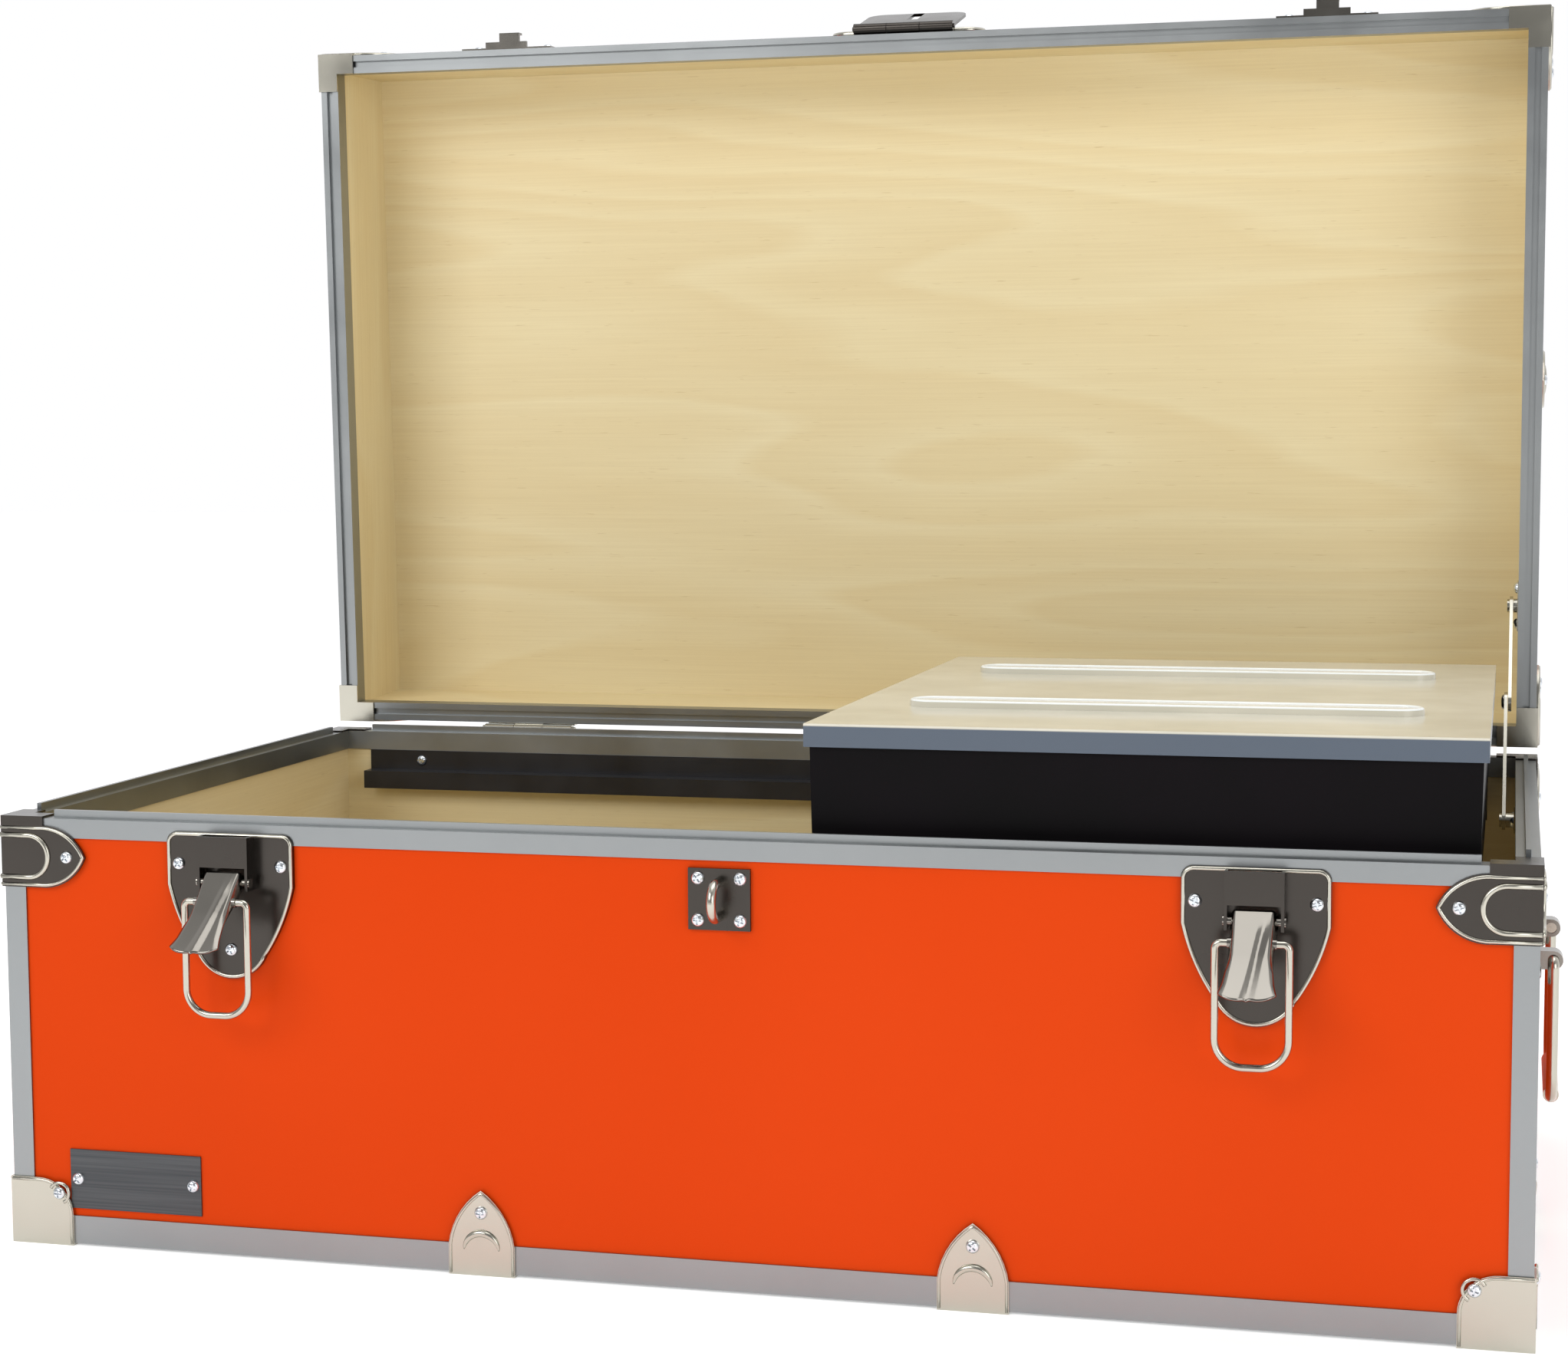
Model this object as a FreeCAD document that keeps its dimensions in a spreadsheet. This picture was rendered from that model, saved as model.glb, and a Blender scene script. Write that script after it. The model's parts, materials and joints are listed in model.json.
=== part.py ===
import FreeCAD, Part
import math
import os
from types import SimpleNamespace

import Sketcher
from FreeCAD import Placement, Rotation, Vector

# A plywood footlocker with aluminium edging and steel corners, shown with its lid open.
# The frame: X along the length, +Y to the back, +Z up. The origin is the centre of the
# footprint, on the plane that the bottom corners stand on. All sizes are millimetres.
# The lid's pieces are drawn with the lid shut and then turned about the hinge by lid_pose.

SIZES = {
    "overall_width": 813, "overall_depth": 458, "base_height": 237, "lid_height": 92.5,
    "rim_gap": 3, "open_angle": 88, "ply": 9, "laminate": 0.8,
    "trim": 1.2, "edge_leg": 15.5, "post_leg": 12.3, "rim_outer_leg": 10.5,
    "rim_inner_leg": 12.5, "rim_web": 1.5, "lid_rim_web": 4, "tongue_width": 2.5,
    "tongue_height": 4.2, "groove_depth": 2.5, "groove_clearance": 0.8, "tongue_stop": 28,
    "cap": 1.2, "corner_arm": 36, "corner_round": 20, "wing_length": 49, "wing_height": 34,
    "wing_drop": 4, "tab_length": 24, "clamp_width": 37, "clamp_height": 46, "clamp_spread": 132,
    "side_clamp_offset": 0, "screw_head": 3.6, "screw_head_rise": 2, "screw_shank": 1.5,
    "screw_length": 9, "screw_clearance": 0.05,
    "hinge_spread": 267, "hinge_width": 63, "hinge_leaf": 1.6, "hinge_height": 42,
    "hinge_knuckle": 4, "hinge_pin": 1.75, "pin_clearance": 0.05, "knuckle_gap": 0.4,
    "hinge_standoff": 0.6,
    "latch_spread": 272, "latch_width": 73, "latch_height": 79, "latch_drop": 4.5,
    "latch_sheet": 1.2, "bracket_width": 29, "bracket_sheet": 1.5, "bracket_reach": 9.5,
    "pivot_drop": 25.5, "pivot_reach": 7, "latch_pin": 2, "lever_width": 23,
    "lever_sheet": 1.2, "lever_length": 52, "loop_drop": 14, "loop_wire": 1.9,
    "loop_width": 39.5, "loop_length": 63, "loop_corner": 14, "lever_tilt": 45,
    "bush_wall": 0.65, "bush_overhang": 0.4,
    "strike_width": 63, "strike_height": 24, "strike_block": 29, "block_reach": 5,
    "block_height": 2.5, "hook_width": 14, "strike_reach": 11.5, "strike_step": 6.6,
    "staple_width": 33, "staple_height": 32, "staple_sheet": 2, "staple_top": 222.5,
    "eye_wire": 2.5, "eye_radius": 9, "eye_leg": 6,
    "hasp_width": 103, "hasp_height": 26, "hasp_sheet": 2, "leaf_width": 66, "leaf_length": 55,
    "hasp_rise": 8, "hasp_standoff": 4.4, "hasp_knuckle": 3.5, "hasp_pin": 1.5,
    "slot_clearance": 1.1, "hasp_open": 166,
    "handle_length": 140, "handle_height": 34, "handle_top": 181, "handle_sheet": 1.6,
    "handle_spread": 50, "bail_wire": 3, "bail_drop": 76, "bail_standoff": 8.5,
    "bail_axis_drop": 21, "grip_radius": 4.2, "grip_length": 88, "latch_corner": 6,
    "rail_sheet": 2, "rail_web": 15.5, "rail_ledge": 15, "rail_lip": 10,
    "rail_end_gap": 18,
    "tray_left": 40, "tray_end_gap": 14, "tray_side_gap": 7.5, "tray_height": 85,
    "tray_wall": 2.5, "tray_draft": 1.5, "tray_band": 12, "tray_lid_sheet": 2,
    "tray_clearance": 0.4, "rib_rise": 3, "rib_width": 26, "rib_margin": 34,
    "stay_sheet": 2, "stay_bracket": 1.8, "stay_width": 12, "stay_pin": 2.5, "stay_gap": 0.3,
    "stay_boss": 2.6,
    "stay_base_back": 75, "stay_base_down": 33, "stay_lid_back": 20, "stay_lid_up": 92,
    "stay_lower": 82, "plate_width": 78, "plate_height": 33, "plate_sheet": 1,
    "plate_left": 34.5, "plate_low": 21,
}


class Size:
    """A number that remembers the formula it came from, in the sheet's aliases."""

    def __init__(self, value, text):
        self.value = value
        self.text = text

    def __add__(self, other):
        other = as_size(other)
        return Size(self.value + other.value, f"({self.text} + {other.text})")

    def __sub__(self, other):
        other = as_size(other)
        return Size(self.value - other.value, f"({self.text} - {other.text})")

    def __mul__(self, number):
        return Size(self.value * number, f"({self.text} * {number})")

    def __truediv__(self, number):
        return Size(self.value / number, f"({self.text} / {number})")

    def __neg__(self):
        return Size(-self.value, f"(0 - {self.text})")

    def __radd__(self, other):
        return as_size(other) + self

    def __rsub__(self, other):
        return as_size(other) - self

    def __rmul__(self, number):
        return self * number

    def __float__(self):
        return float(self.value)


def as_size(value):
    return value if isinstance(value, Size) else Size(value, f"{value}")


doc = FreeCAD.newDocument("footlocker")
sheet = doc.addObject("Spreadsheet::Sheet", "sizes")
for row, (alias, value) in enumerate(SIZES.items(), start=1):
    sheet.set(f"A{row}", alias)
    sheet.set(f"B{row}", str(value))
    sheet.setAlias(f"B{row}", alias)
doc.recompute()
s = SimpleNamespace(**{alias: Size(value, f"sizes.{alias}") for alias, value in SIZES.items()})

nodes = {}


# ---------------------------------------------------------------- helpers

def bind(obj, path, value):
    """Set a property and tie it to the sheet by the value's formula."""
    value = as_size(value)
    if "." not in path:
        setattr(obj, path, value.value)
    obj.setExpression(path, value.text)


def box(name, x, y, z):
    """A block between the (low, high) pairs x, y and z."""
    obj = doc.addObject("Part::Box", name)
    for prop, axis, (low, high) in zip(("Length", "Width", "Height"), "xyz", (x, y, z)):
        bind(obj, prop, high - low)
        bind(obj, f"Placement.Base.{axis}", low)
    return obj


TURN_Z_TO = {"x": Rotation(Vector(0, 1, 0), 90), "y": Rotation(Vector(1, 0, 0), -90),
             "z": Rotation()}


def cylinder(name, axis, centre, radius, low, high):
    """A cylinder along axis from low to high; centre holds the other two coordinates in order."""
    obj = doc.addObject("Part::Cylinder", name)
    bind(obj, "Radius", radius)
    bind(obj, "Height", high - low)
    obj.Placement = Placement(Vector(), TURN_Z_TO[axis])
    rest = iter(centre)
    for letter in "xyz":
        bind(obj, f"Placement.Base.{letter}", low if letter == axis else next(rest))
    return obj


def cut(name, base, tool):
    obj = doc.addObject("Part::Cut", name)
    obj.Base = base
    obj.Tool = tool
    return obj


def fuse(name, shapes):
    obj = doc.addObject("Part::MultiFuse", name)
    obj.Shapes = shapes
    obj.Refine = True
    return obj


def common(name, base, tool):
    obj = doc.addObject("Part::Common", name)
    obj.Base = base
    obj.Tool = tool
    return obj


def group(name, members):
    """Separate solids kept as one object."""
    obj = doc.addObject("Part::Compound", name)
    obj.Links = members
    return obj


def feature(name, shape):
    obj = doc.addObject("Part::Feature", name)
    obj.Shape = shape
    return obj


def pin_vertex(sketch, name, geometry, end, u, v):
    """Tie one end of a line or arc to the sketch's axes by its two coordinates."""
    for kind, value, axis in (("DistanceX", as_size(u), -2), ("DistanceY", as_size(v), -1)):
        if abs(value.value) < 1e-9:
            sketch.addConstraint(Sketcher.Constraint("PointOnObject", geometry, end, axis))
            continue
        ahead = value.value > 0
        ends = (-1, 1, geometry, end) if ahead else (geometry, end, -1, 1)
        distance = value if ahead else -value
        index = sketch.addConstraint(Sketcher.Constraint(kind, *ends, distance.value))
        sketch.renameConstraint(index, f"{name}_{kind}")
        sketch.setExpression(f"Constraints.{name}_{kind}", distance.text)


def slab(name, plane, outline, start, thickness):
    """A body: a closed outline on an origin plane, lifted to start and padded by thickness.

    A corner is (u, v). An arc's end is (u, v, mid_u, mid_v), through the mid point.
    On the XZ plane the pad goes towards -Y, on YZ towards +X and on XY towards +Z.
    """
    body = doc.addObject("PartDesign::Body", name)
    sketch = body.newObject("Sketcher::SketchObject", f"{name}_outline")
    support = [f for f in body.Origin.OriginFeatures if f.Role == plane][0]
    sketch.AttachmentSupport = [(support, "")]
    sketch.MapMode = "FlatFace"
    sketch.setExpression("AttachmentOffset.Base.z", as_size(start).text)
    points = [Vector(float(p[0]), float(p[1]), 0) for p in outline]
    for index, corner in enumerate(outline):
        first, last = points[index - 1], points[index]
        if len(corner) == 4:
            middle = Vector(float(corner[2]), float(corner[3]), 0)
            sketch.addGeometry(Part.Arc(first, middle, last))
        else:
            sketch.addGeometry(Part.LineSegment(first, last))
    ends = []
    for index, corner in enumerate(outline):
        edge = sketch.Geometry[index]
        swapped = len(corner) == 4 and (edge.EndPoint - points[index]).Length > 1e-6
        ends.append((2, 1) if swapped else (1, 2))
    for index, corner in enumerate(outline):
        following = (index + 1) % len(outline)
        sketch.addConstraint(Sketcher.Constraint("Coincident", index, ends[index][1],
                                                 following, ends[following][0]))
        pin_vertex(sketch, f"p{index}", index, ends[index][1], corner[0], corner[1])
    pad = body.newObject("PartDesign::Pad", f"{name}_pad")
    pad.Profile = sketch
    bind(pad, "Length", thickness)
    body.Tip = pad
    sketch.Visibility = False
    return body


def rectangle(u, v):
    return [(u[0], v[0]), (u[1], v[0]), (u[1], v[1]), (u[0], v[1])]


def wire_rod(name, points, corner_radii, radius, placement=Placement()):
    """Round wire along straight runs joined by tangent arcs of the given radii."""
    path = []
    start = points[0]
    for before, corner, after, bend in zip(points, points[1:], points[2:], corner_radii):
        towards, away = (before - corner).normalize(), (after - corner).normalize()
        half = towards.getAngle(away) / 2
        setback = bend / math.tan(half)
        enter, leave = corner + towards * setback, corner + away * setback
        inward = (towards + away).normalize()
        middle = corner + inward * (bend / math.sin(half) - bend)
        if (enter - start).Length > 1e-6:
            path.append(Part.LineSegment(start, enter).toShape())
        path.append(Part.Arc(enter, middle, leave).toShape())
        start = leave
    if (points[-1] - start).Length > 1e-6:
        path.append(Part.LineSegment(start, points[-1]).toShape())
    spine = Part.Wire(path)
    direction = (points[1] - points[0]).normalize()
    section = Part.Wire(Part.makeCircle(radius, points[0], direction))
    obj = feature(name, spine.makePipeShell([section], True, True))
    obj.Placement = placement
    return obj


def node(label, obj, pose=None):
    """Name a finished sub-part and give it its place."""
    obj.Label = label
    if pose is not None:
        obj.Placement = pose
    nodes[label] = obj
    return obj


def about_z(degrees, shift=Vector()):
    return Placement(shift, Rotation(Vector(0, 0, 1), degrees))


# ---------------------------------------------------------------- shared planes

half_width = s.overall_width / 2
half_depth = s.overall_depth / 2
skin_x = half_width - s.trim
skin_y = half_depth - s.trim
ply_x = skin_x - s.laminate
ply_y = skin_y - s.laminate
inner_x = ply_x - s.ply
inner_y = ply_y - s.ply

skin_low = s.cap + s.trim
ply_low = skin_low + s.laminate
floor_z = ply_low + s.ply
rim_z = s.base_height
ply_high = rim_z - s.rim_web

lid_rim_z = rim_z + s.rim_gap
lid_ply_low = lid_rim_z + s.lid_rim_web
lid_outer_z = lid_rim_z + s.lid_height
lid_skin_high = lid_outer_z - s.trim
lid_ply_high = lid_skin_high - s.laminate
ceiling_z = lid_ply_high - s.ply
lid_top_z = lid_outer_z + s.cap

hinge_y = half_depth + s.hinge_standoff + s.hinge_knuckle
hinge_z = rim_z + s.rim_gap / 2
hinge_point = Vector(0, float(hinge_y), float(hinge_z))
lid_pose = Placement(Vector(), Rotation(Vector(1, 0, 0), -float(s.open_angle)), hinge_point)

# Each screw is (point under its head, direction its shank runs in), for the base and the lid.
screws = {"base": [], "lid": []}


def add_screw(part, x, y, z, direction):
    screws[part].append((Vector(float(x), float(y), float(z)), Vector(*direction)))


INWARD = {"front": (0, 1, 0), "back": (0, -1, 0), "left": (1, 0, 0), "right": (-1, 0, 0)}
SIDE_TURN = {"front": 0, "right": 90, "back": 180, "left": 270}
BESIDE = {"front": (half_width, half_depth), "back": (half_width, half_depth),
          "left": (half_depth, half_width), "right": (half_depth, half_width)}


def screw_on_side(part, side, along, out, height):
    """A screw on an outer face: along the face, out from the centre, at a height."""
    turned = about_z(SIDE_TURN[side]).multVec(Vector(float(along), -float(out), 0))
    add_screw(part, turned.x, turned.y, height, INWARD[side])


# ---------------------------------------------------------------- plywood and laminate

def carcass(part, low, high, flat, flat_name):
    """Four walls and the floor or top of one half of the box, as plain boards."""
    walls = {
        "front_panel": ((-ply_x, ply_x), (-ply_y, -inner_y), (low, high)),
        "back_panel": ((-ply_x, ply_x), (inner_y, ply_y), (low, high)),
        "left_panel": ((-ply_x, -inner_x), (-inner_y, inner_y), (low, high)),
        "right_panel": ((inner_x, ply_x), (-inner_y, inner_y), (low, high)),
        flat_name: ((-inner_x, inner_x), (-inner_y, inner_y), flat),
    }
    return {f"{part}_{name}": box(f"{part}_{name}_board", *sides)
            for name, sides in walls.items()}


def laminate(part, low, high, flat):
    """Five sheets of laminate over the outside of one half of the box."""
    sheets = {
        "front": ((-skin_x, skin_x), (-skin_y, -ply_y), (low, high)),
        "back": ((-skin_x, skin_x), (ply_y, skin_y), (low, high)),
        "left": ((-skin_x, -ply_x), (-ply_y, ply_y), (low, high)),
        "right": ((ply_x, skin_x), (-ply_y, ply_y), (low, high)),
        "flat": ((-ply_x, ply_x), (-ply_y, ply_y), flat),
    }
    return group(f"{part}_laminate_group",
                 [box(f"{part}_{name}_laminate", *sides) for name, sides in sheets.items()])


base_boards = carcass("base", ply_low, ply_high, (ply_low, floor_z), "bottom_panel")
lid_boards = carcass("lid", lid_ply_low, lid_ply_high, (ceiling_z, lid_ply_high), "top_panel")
base_laminate = laminate("base", skin_low, ply_high, (skin_low, ply_low))
lid_laminate = laminate("lid", lid_ply_low, lid_skin_high, (lid_ply_high, lid_skin_high))


# ---------------------------------------------------------------- aluminium edging

def mitred_run(name, profile, half_length, distance, low, high, angle, extra=(), grooves=()):
    """One straight extrusion along a side, its ends cut at 45 degrees."""
    bar = slab(f"{name}_bar", "YZ_Plane", profile, -half_length, half_length * 2)
    if extra:
        bar = fuse(f"{name}_with_tongue", [bar, *extra])
    if grooves:
        bar = cut(f"{name}_grooved", bar, grooves[0])
    wedge = doc.addObject("Part::Wedge", f"{name}_mitre")
    reach = s.edge_leg * 2
    spare = s.cap
    for prop, value in (("Xmin", -half_length - spare), ("Xmax", half_length + spare),
                        ("X2min", reach - half_length), ("X2max", half_length - reach),
                        ("Ymin", -distance - spare), ("Ymax", reach - distance),
                        ("Zmin", low - spare), ("Zmax", high + spare),
                        ("Z2min", low - spare), ("Z2max", high + spare)):
        bind(wedge, prop, value)
    run = common(f"{name}_run", bar, wedge)
    run.Placement = about_z(angle)
    return run


def edging(name, profile_at, low, high, extra_at=None, groove_at=None):
    """Four mitred runs round the box, as one group."""
    runs = []
    for side, angle in SIDE_TURN.items():
        half_length, distance = BESIDE[side]
        label = f"{name}_{side}"
        extra = [extra_at(label, half_length, distance)] if extra_at else ()
        grooves = [groove_at(label, half_length, distance)] if groove_at else ()
        runs.append(mitred_run(label, profile_at(distance), half_length, distance,
                               low, high, angle, extra, grooves))
    return group(f"{name}_group", runs)


def angle_profile(distance, outer, inward, leg):
    """An L: one leg on the wall, one on the flat face at outer; inward is +1 up or -1 down."""
    out = -distance
    return [(out, outer), (out + leg, outer), (out + leg, outer + s.trim * inward),
            (out + s.trim, outer + s.trim * inward), (out + s.trim, outer + leg * inward),
            (out, outer + leg * inward)]


def channel_profile(distance, face, web, inward):
    """A U over the edge of a wall, open along +Z or -Z; inward is -1 for the base, +1 for the lid."""
    out = -distance
    far = out + s.trim * 2 + s.laminate + s.ply
    return [(out, face), (far, face), (far, face + s.rim_inner_leg * inward),
            (far - s.trim, face + s.rim_inner_leg * inward), (far - s.trim, face + web * inward),
            (out + s.trim, face + web * inward), (out + s.trim, face + s.rim_outer_leg * inward),
            (out, face + s.rim_outer_leg * inward)]


rim_middle = (s.trim * 2 + s.laminate + s.ply) / 2


def tongue(name, half_length, distance):
    middle = rim_middle - distance
    span = half_length - s.tongue_stop
    return box(f"{name}_tongue", (-span, span),
               (middle - s.tongue_width / 2, middle + s.tongue_width / 2),
               (rim_z - s.rim_web / 2, rim_z + s.tongue_height))


def groove(name, half_length, distance):
    middle = rim_middle - distance
    reach = s.tongue_width / 2 + s.groove_clearance
    return box(f"{name}_groove", (-half_length, half_length), (middle - reach, middle + reach),
               (lid_rim_z - s.rim_gap / 2, lid_rim_z + s.groove_depth))


base_bottom_edging = edging("base_bottom_edging",
                            lambda d: angle_profile(d, s.cap, 1, s.edge_leg),
                            s.cap, s.cap + s.edge_leg)
base_rim_edging = edging("base_rim_edging", lambda d: channel_profile(d, rim_z, s.rim_web, -1),
                         rim_z - s.rim_inner_leg, rim_z + s.tongue_height, extra_at=tongue)
lid_rim_edging = edging("lid_rim_edging",
                        lambda d: channel_profile(d, lid_rim_z, s.lid_rim_web, 1),
                        lid_rim_z, lid_rim_z + s.rim_inner_leg, groove_at=groove)
lid_top_edging = edging("lid_top_edging",
                        lambda d: angle_profile(d, lid_outer_z, -1, s.edge_leg),
                        lid_outer_z - s.edge_leg, lid_outer_z)

CORNERS = {"front_left": (-1, -1, 0), "front_right": (1, -1, 90), "back_right": (1, 1, 180),
           "back_left": (-1, 1, 270)}


def at_corners(name, build, out=0, height=0, flip=False):
    """Four copies of a piece drawn with its outer corner at the origin and its legs along +X, +Y.

    flip turns the piece upside down about the diagonal between its legs.
    """
    copies = []
    turn_over = Rotation(Vector(1, 1, 0), 180) if flip else Rotation()
    for corner, (x, y, angle) in CORNERS.items():
        piece = build(f"{name}_{corner}")
        place = Vector(x * float(half_width + out), y * float(half_depth + out), float(height))
        piece.Placement = Placement(place, Rotation(Vector(0, 0, 1), angle) * turn_over)
        copies.append(piece)
    return group(f"{name}_group", copies)


def post_between(low, high):
    def build(name):
        leg = s.post_leg
        outline = [(0, 0), (leg, 0), (leg, s.trim), (s.trim, s.trim), (s.trim, leg), (0, leg)]
        return slab(name, "XY_Plane", outline, low, high - low)
    return build


base_posts = at_corners("base_corner_posts", post_between(s.cap + s.edge_leg,
                                                          rim_z - s.rim_outer_leg))
lid_posts = at_corners("lid_corner_posts", post_between(lid_rim_z + s.rim_outer_leg,
                                                        lid_outer_z - s.edge_leg))


# ---------------------------------------------------------------- steel corners and clamps

def corner_cup(name):
    """A cup over three faces: a block rounded on its free corners, less the block it covers."""
    arm = s.corner_arm + s.cap
    block = box(f"{name}_block", (as_size(0), arm), (as_size(0), arm), (as_size(0), arm))
    doc.recompute()
    reach = float(arm)
    chosen = []
    for index, edge in enumerate(block.Shape.Edges, start=1):
        centre = edge.CenterOfMass
        far = sum(abs(value - reach) < 1e-6 for value in centre)
        if far == 2:
            chosen.append((index, float(s.corner_round), float(s.corner_round)))
    rounded = doc.addObject("Part::Fillet", f"{name}_rounded")
    rounded.Base = block
    rounded.Edges = chosen
    inside = box(f"{name}_inside", (s.cap, arm * 2), (s.cap, arm * 2), (s.cap, arm * 2))
    return cut(f"{name}_cup", rounded, inside)


def wing_outline(tip, low, high):
    """A shield wing that starts square at the corner and closes to a blunt point at tip."""
    middle = (low + high) / 2
    shoulder = tip * 0.45
    return [(0, low), (shoulder, low),
            (tip, middle, tip * 0.86, low + (high - low) * 0.2),
            (shoulder, high, tip * 0.86, high - (high - low) * 0.2), (0, high)]


def rim_corner(name):
    """Two wings over the rim at a corner, with a tab on each side of it over the rim's face.

    It is drawn for the base: the rim's face is at height 0 and the wings hang below it.
    """
    tip = s.wing_length + s.cap
    high = -s.wing_drop
    low = high - s.wing_height
    along_x = slab(f"{name}_wing_x", "XZ_Plane", wing_outline(tip, low, high), -s.cap, s.cap)
    along_y = slab(f"{name}_wing_y", "YZ_Plane", wing_outline(tip, low, high), 0, s.cap)
    tab = s.tab_length + s.cap
    deep = s.cap + s.trim * 2 + s.laminate + s.ply
    skirt_low = high - s.cap
    skirts = [
        box(f"{name}_tab_x", (as_size(0), tab), (as_size(0), deep), (as_size(0), s.cap)),
        box(f"{name}_tab_y", (as_size(0), deep), (as_size(0), tab), (as_size(0), s.cap)),
        box(f"{name}_skirt_x", (as_size(0), tab), (as_size(0), s.cap), (skirt_low, s.cap)),
        box(f"{name}_skirt_y", (as_size(0), s.cap), (as_size(0), tab), (skirt_low, s.cap)),
    ]
    return fuse(f"{name}_shell", [along_x, along_y, *skirts])


base_bottom_corners = at_corners("base_bottom_corners", corner_cup, out=s.cap)
lid_top_corners = at_corners("lid_top_corners", corner_cup, out=s.cap, height=lid_top_z, flip=True)
base_rim_corners = at_corners("base_rim_corners", rim_corner, out=s.cap, height=rim_z)
lid_rim_corners = at_corners("lid_rim_corners", rim_corner, out=s.cap, height=lid_rim_z, flip=True)

corner_screw_in = s.corner_arm - 8
wing_screw_in = s.wing_length - 11
for side, (half_length, distance) in BESIDE.items():
    for way in (-1, 1):
        cup_along = (half_length - corner_screw_in) * way
        wing_along = (half_length - wing_screw_in) * way
        face = distance + s.cap
        wing_mid = s.wing_drop + s.wing_height / 2
        screw_on_side("base", side, cup_along, face, s.cap + corner_screw_in)
        screw_on_side("lid", side, cup_along, face, lid_outer_z - corner_screw_in)
        screw_on_side("base", side, wing_along, face, rim_z - wing_mid)
        screw_on_side("lid", side, wing_along, face, lid_rim_z + wing_mid)


def edge_clamp(name, distance):
    """A bullet-shaped clamp that wraps under the bottom edge, drawn on the front."""
    side = s.clamp_width / 2
    shoulder = s.clamp_height * 0.35
    belly = s.clamp_height * 0.74
    outline = [(-side, 0), (side, 0), (side, shoulder),
               (0, s.clamp_height, side * 0.64, belly),
               (-side, shoulder, -side * 0.64, belly)]
    face = slab(f"{name}_face", "XZ_Plane", outline, distance, s.cap)
    foot = box(f"{name}_foot", (-side, side), (-distance - s.cap / 2, s.edge_leg - distance),
               (as_size(0), s.cap))
    return fuse(name, [face, foot])


def clamp_set(part, flipped):
    pieces = []
    places = [("front", 1), ("front", -1), ("back", 1), ("back", -1), ("left", 0), ("right", 0)]
    for side, way in places:
        distance = BESIDE[side][1]
        piece = edge_clamp(f"{part}_clamp_{side}_{way + 1}", distance)
        along = s.clamp_spread * way if way else s.side_clamp_offset
        height = s.clamp_height * 0.74
        over = Rotation(Vector(0, 1, 0), 180) if flipped else Rotation()
        turn = Rotation(Vector(0, 0, 1), SIDE_TURN[side])
        shift = turn.multVec(Vector(float(along), 0, 0))
        shift.z = float(lid_top_z) if flipped else 0
        piece.Placement = Placement(shift, turn * over)
        pieces.append(piece)
        level = lid_top_z - height if flipped else height
        screw_on_side(part, side, along, distance + s.cap, level)
    return group(f"{part}_edge_clamps_group", pieces)


base_clamps = clamp_set("base", False)
lid_clamps = clamp_set("lid", True)


# ---------------------------------------------------------------- hinges

def hinge_leaf(name, x, part):
    """One leaf with its knuckles: the base has the two outer ones, the lid the middle one."""
    half = s.hinge_width / 2
    third = s.hinge_width / 6
    way = -1 if part == "base" else 1
    far = hinge_z + s.hinge_height * way
    near = rim_z - s.rim_outer_leg if part == "base" else lid_rim_z + s.rim_outer_leg
    low, high = (far, hinge_z) if part == "base" else (hinge_z, far)
    plate = box(f"{name}_plate", (x - half, x + half), (half_depth, half_depth + s.hinge_leaf),
                (low, high))
    pad_z = (far, near) if part == "base" else (near, far)
    pad = box(f"{name}_pad", (x - half, x + half), (skin_y, half_depth + s.hinge_leaf / 2), pad_z)
    gap = s.knuckle_gap
    clear = s.hinge_knuckle + s.hinge_standoff + gap
    window_z = (hinge_z - clear, hinge_z + clear)
    window_y = (skin_y - s.trim, half_depth + s.hinge_leaf * 2)
    if part == "base":
        barrels = [(x - half, x - third - gap / 2), (x + third + gap / 2, x + half)]
        windows = [(x - third - gap / 2, x + third + gap / 2)]
    else:
        barrels = [(x - third + gap / 2, x + third - gap / 2)]
        windows = [(x - half * 2, x - third + gap / 2), (x + third - gap / 2, x + half * 2)]
    cleared = fuse(f"{name}_flat", [plate, pad])
    for index, span in enumerate(windows):
        window = box(f"{name}_window_{index}", span, window_y, window_z)
        cleared = cut(f"{name}_windowed_{index}", cleared, window)
    axis = (hinge_y, hinge_z)
    knuckles = [cylinder(f"{name}_knuckle_{i}", "x", axis, s.hinge_knuckle, *span)
                for i, span in enumerate(barrels)]
    solid = fuse(f"{name}_solid", [cleared, *knuckles])
    bore = cylinder(f"{name}_bore", "x", axis, s.hinge_pin + s.pin_clearance,
                    x - half * 2, x + half * 2)
    for offset in (-1, 0, 1):
        level = hinge_z + (s.hinge_height * (0.45 if offset else 0.78)) * way
        add_screw(part, x + half * 0.62 * offset, half_depth + s.hinge_leaf, level, (0, -1, 0))
    return cut(f"{name}_bored", solid, bore)


def hinge_pin(name, x):
    half = s.hinge_width / 2
    axis = (hinge_y, hinge_z)
    shaft = cylinder(f"{name}_shaft", "x", axis, s.hinge_pin, x - half - 2, x + half + 2)
    heads = [cylinder(f"{name}_head_{i}", "x", axis, s.hinge_pin * 1.6, *span) for i, span in
             enumerate([(x - half - 2, x - half - 0.2), (x + half + 0.2, x + half + 2)])]
    return fuse(name, [shaft, *heads])


HANDS = {"left": -1, "right": 1}
hinge_leaves = {}
for part in ("base", "lid"):
    pair = [hinge_leaf(f"{hand}_hinge_{part}_leaf", s.hinge_spread * way, part)
            for hand, way in HANDS.items()]
    hinge_leaves[part] = group(f"hinge_{part}_leaves_raw", pair)
hinge_pins = group("hinge_pins_group", [hinge_pin(f"{hand}_hinge_pin", s.hinge_spread * way)
                                        for hand, way in HANDS.items()])


# ---------------------------------------------------------------- draw latches

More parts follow.
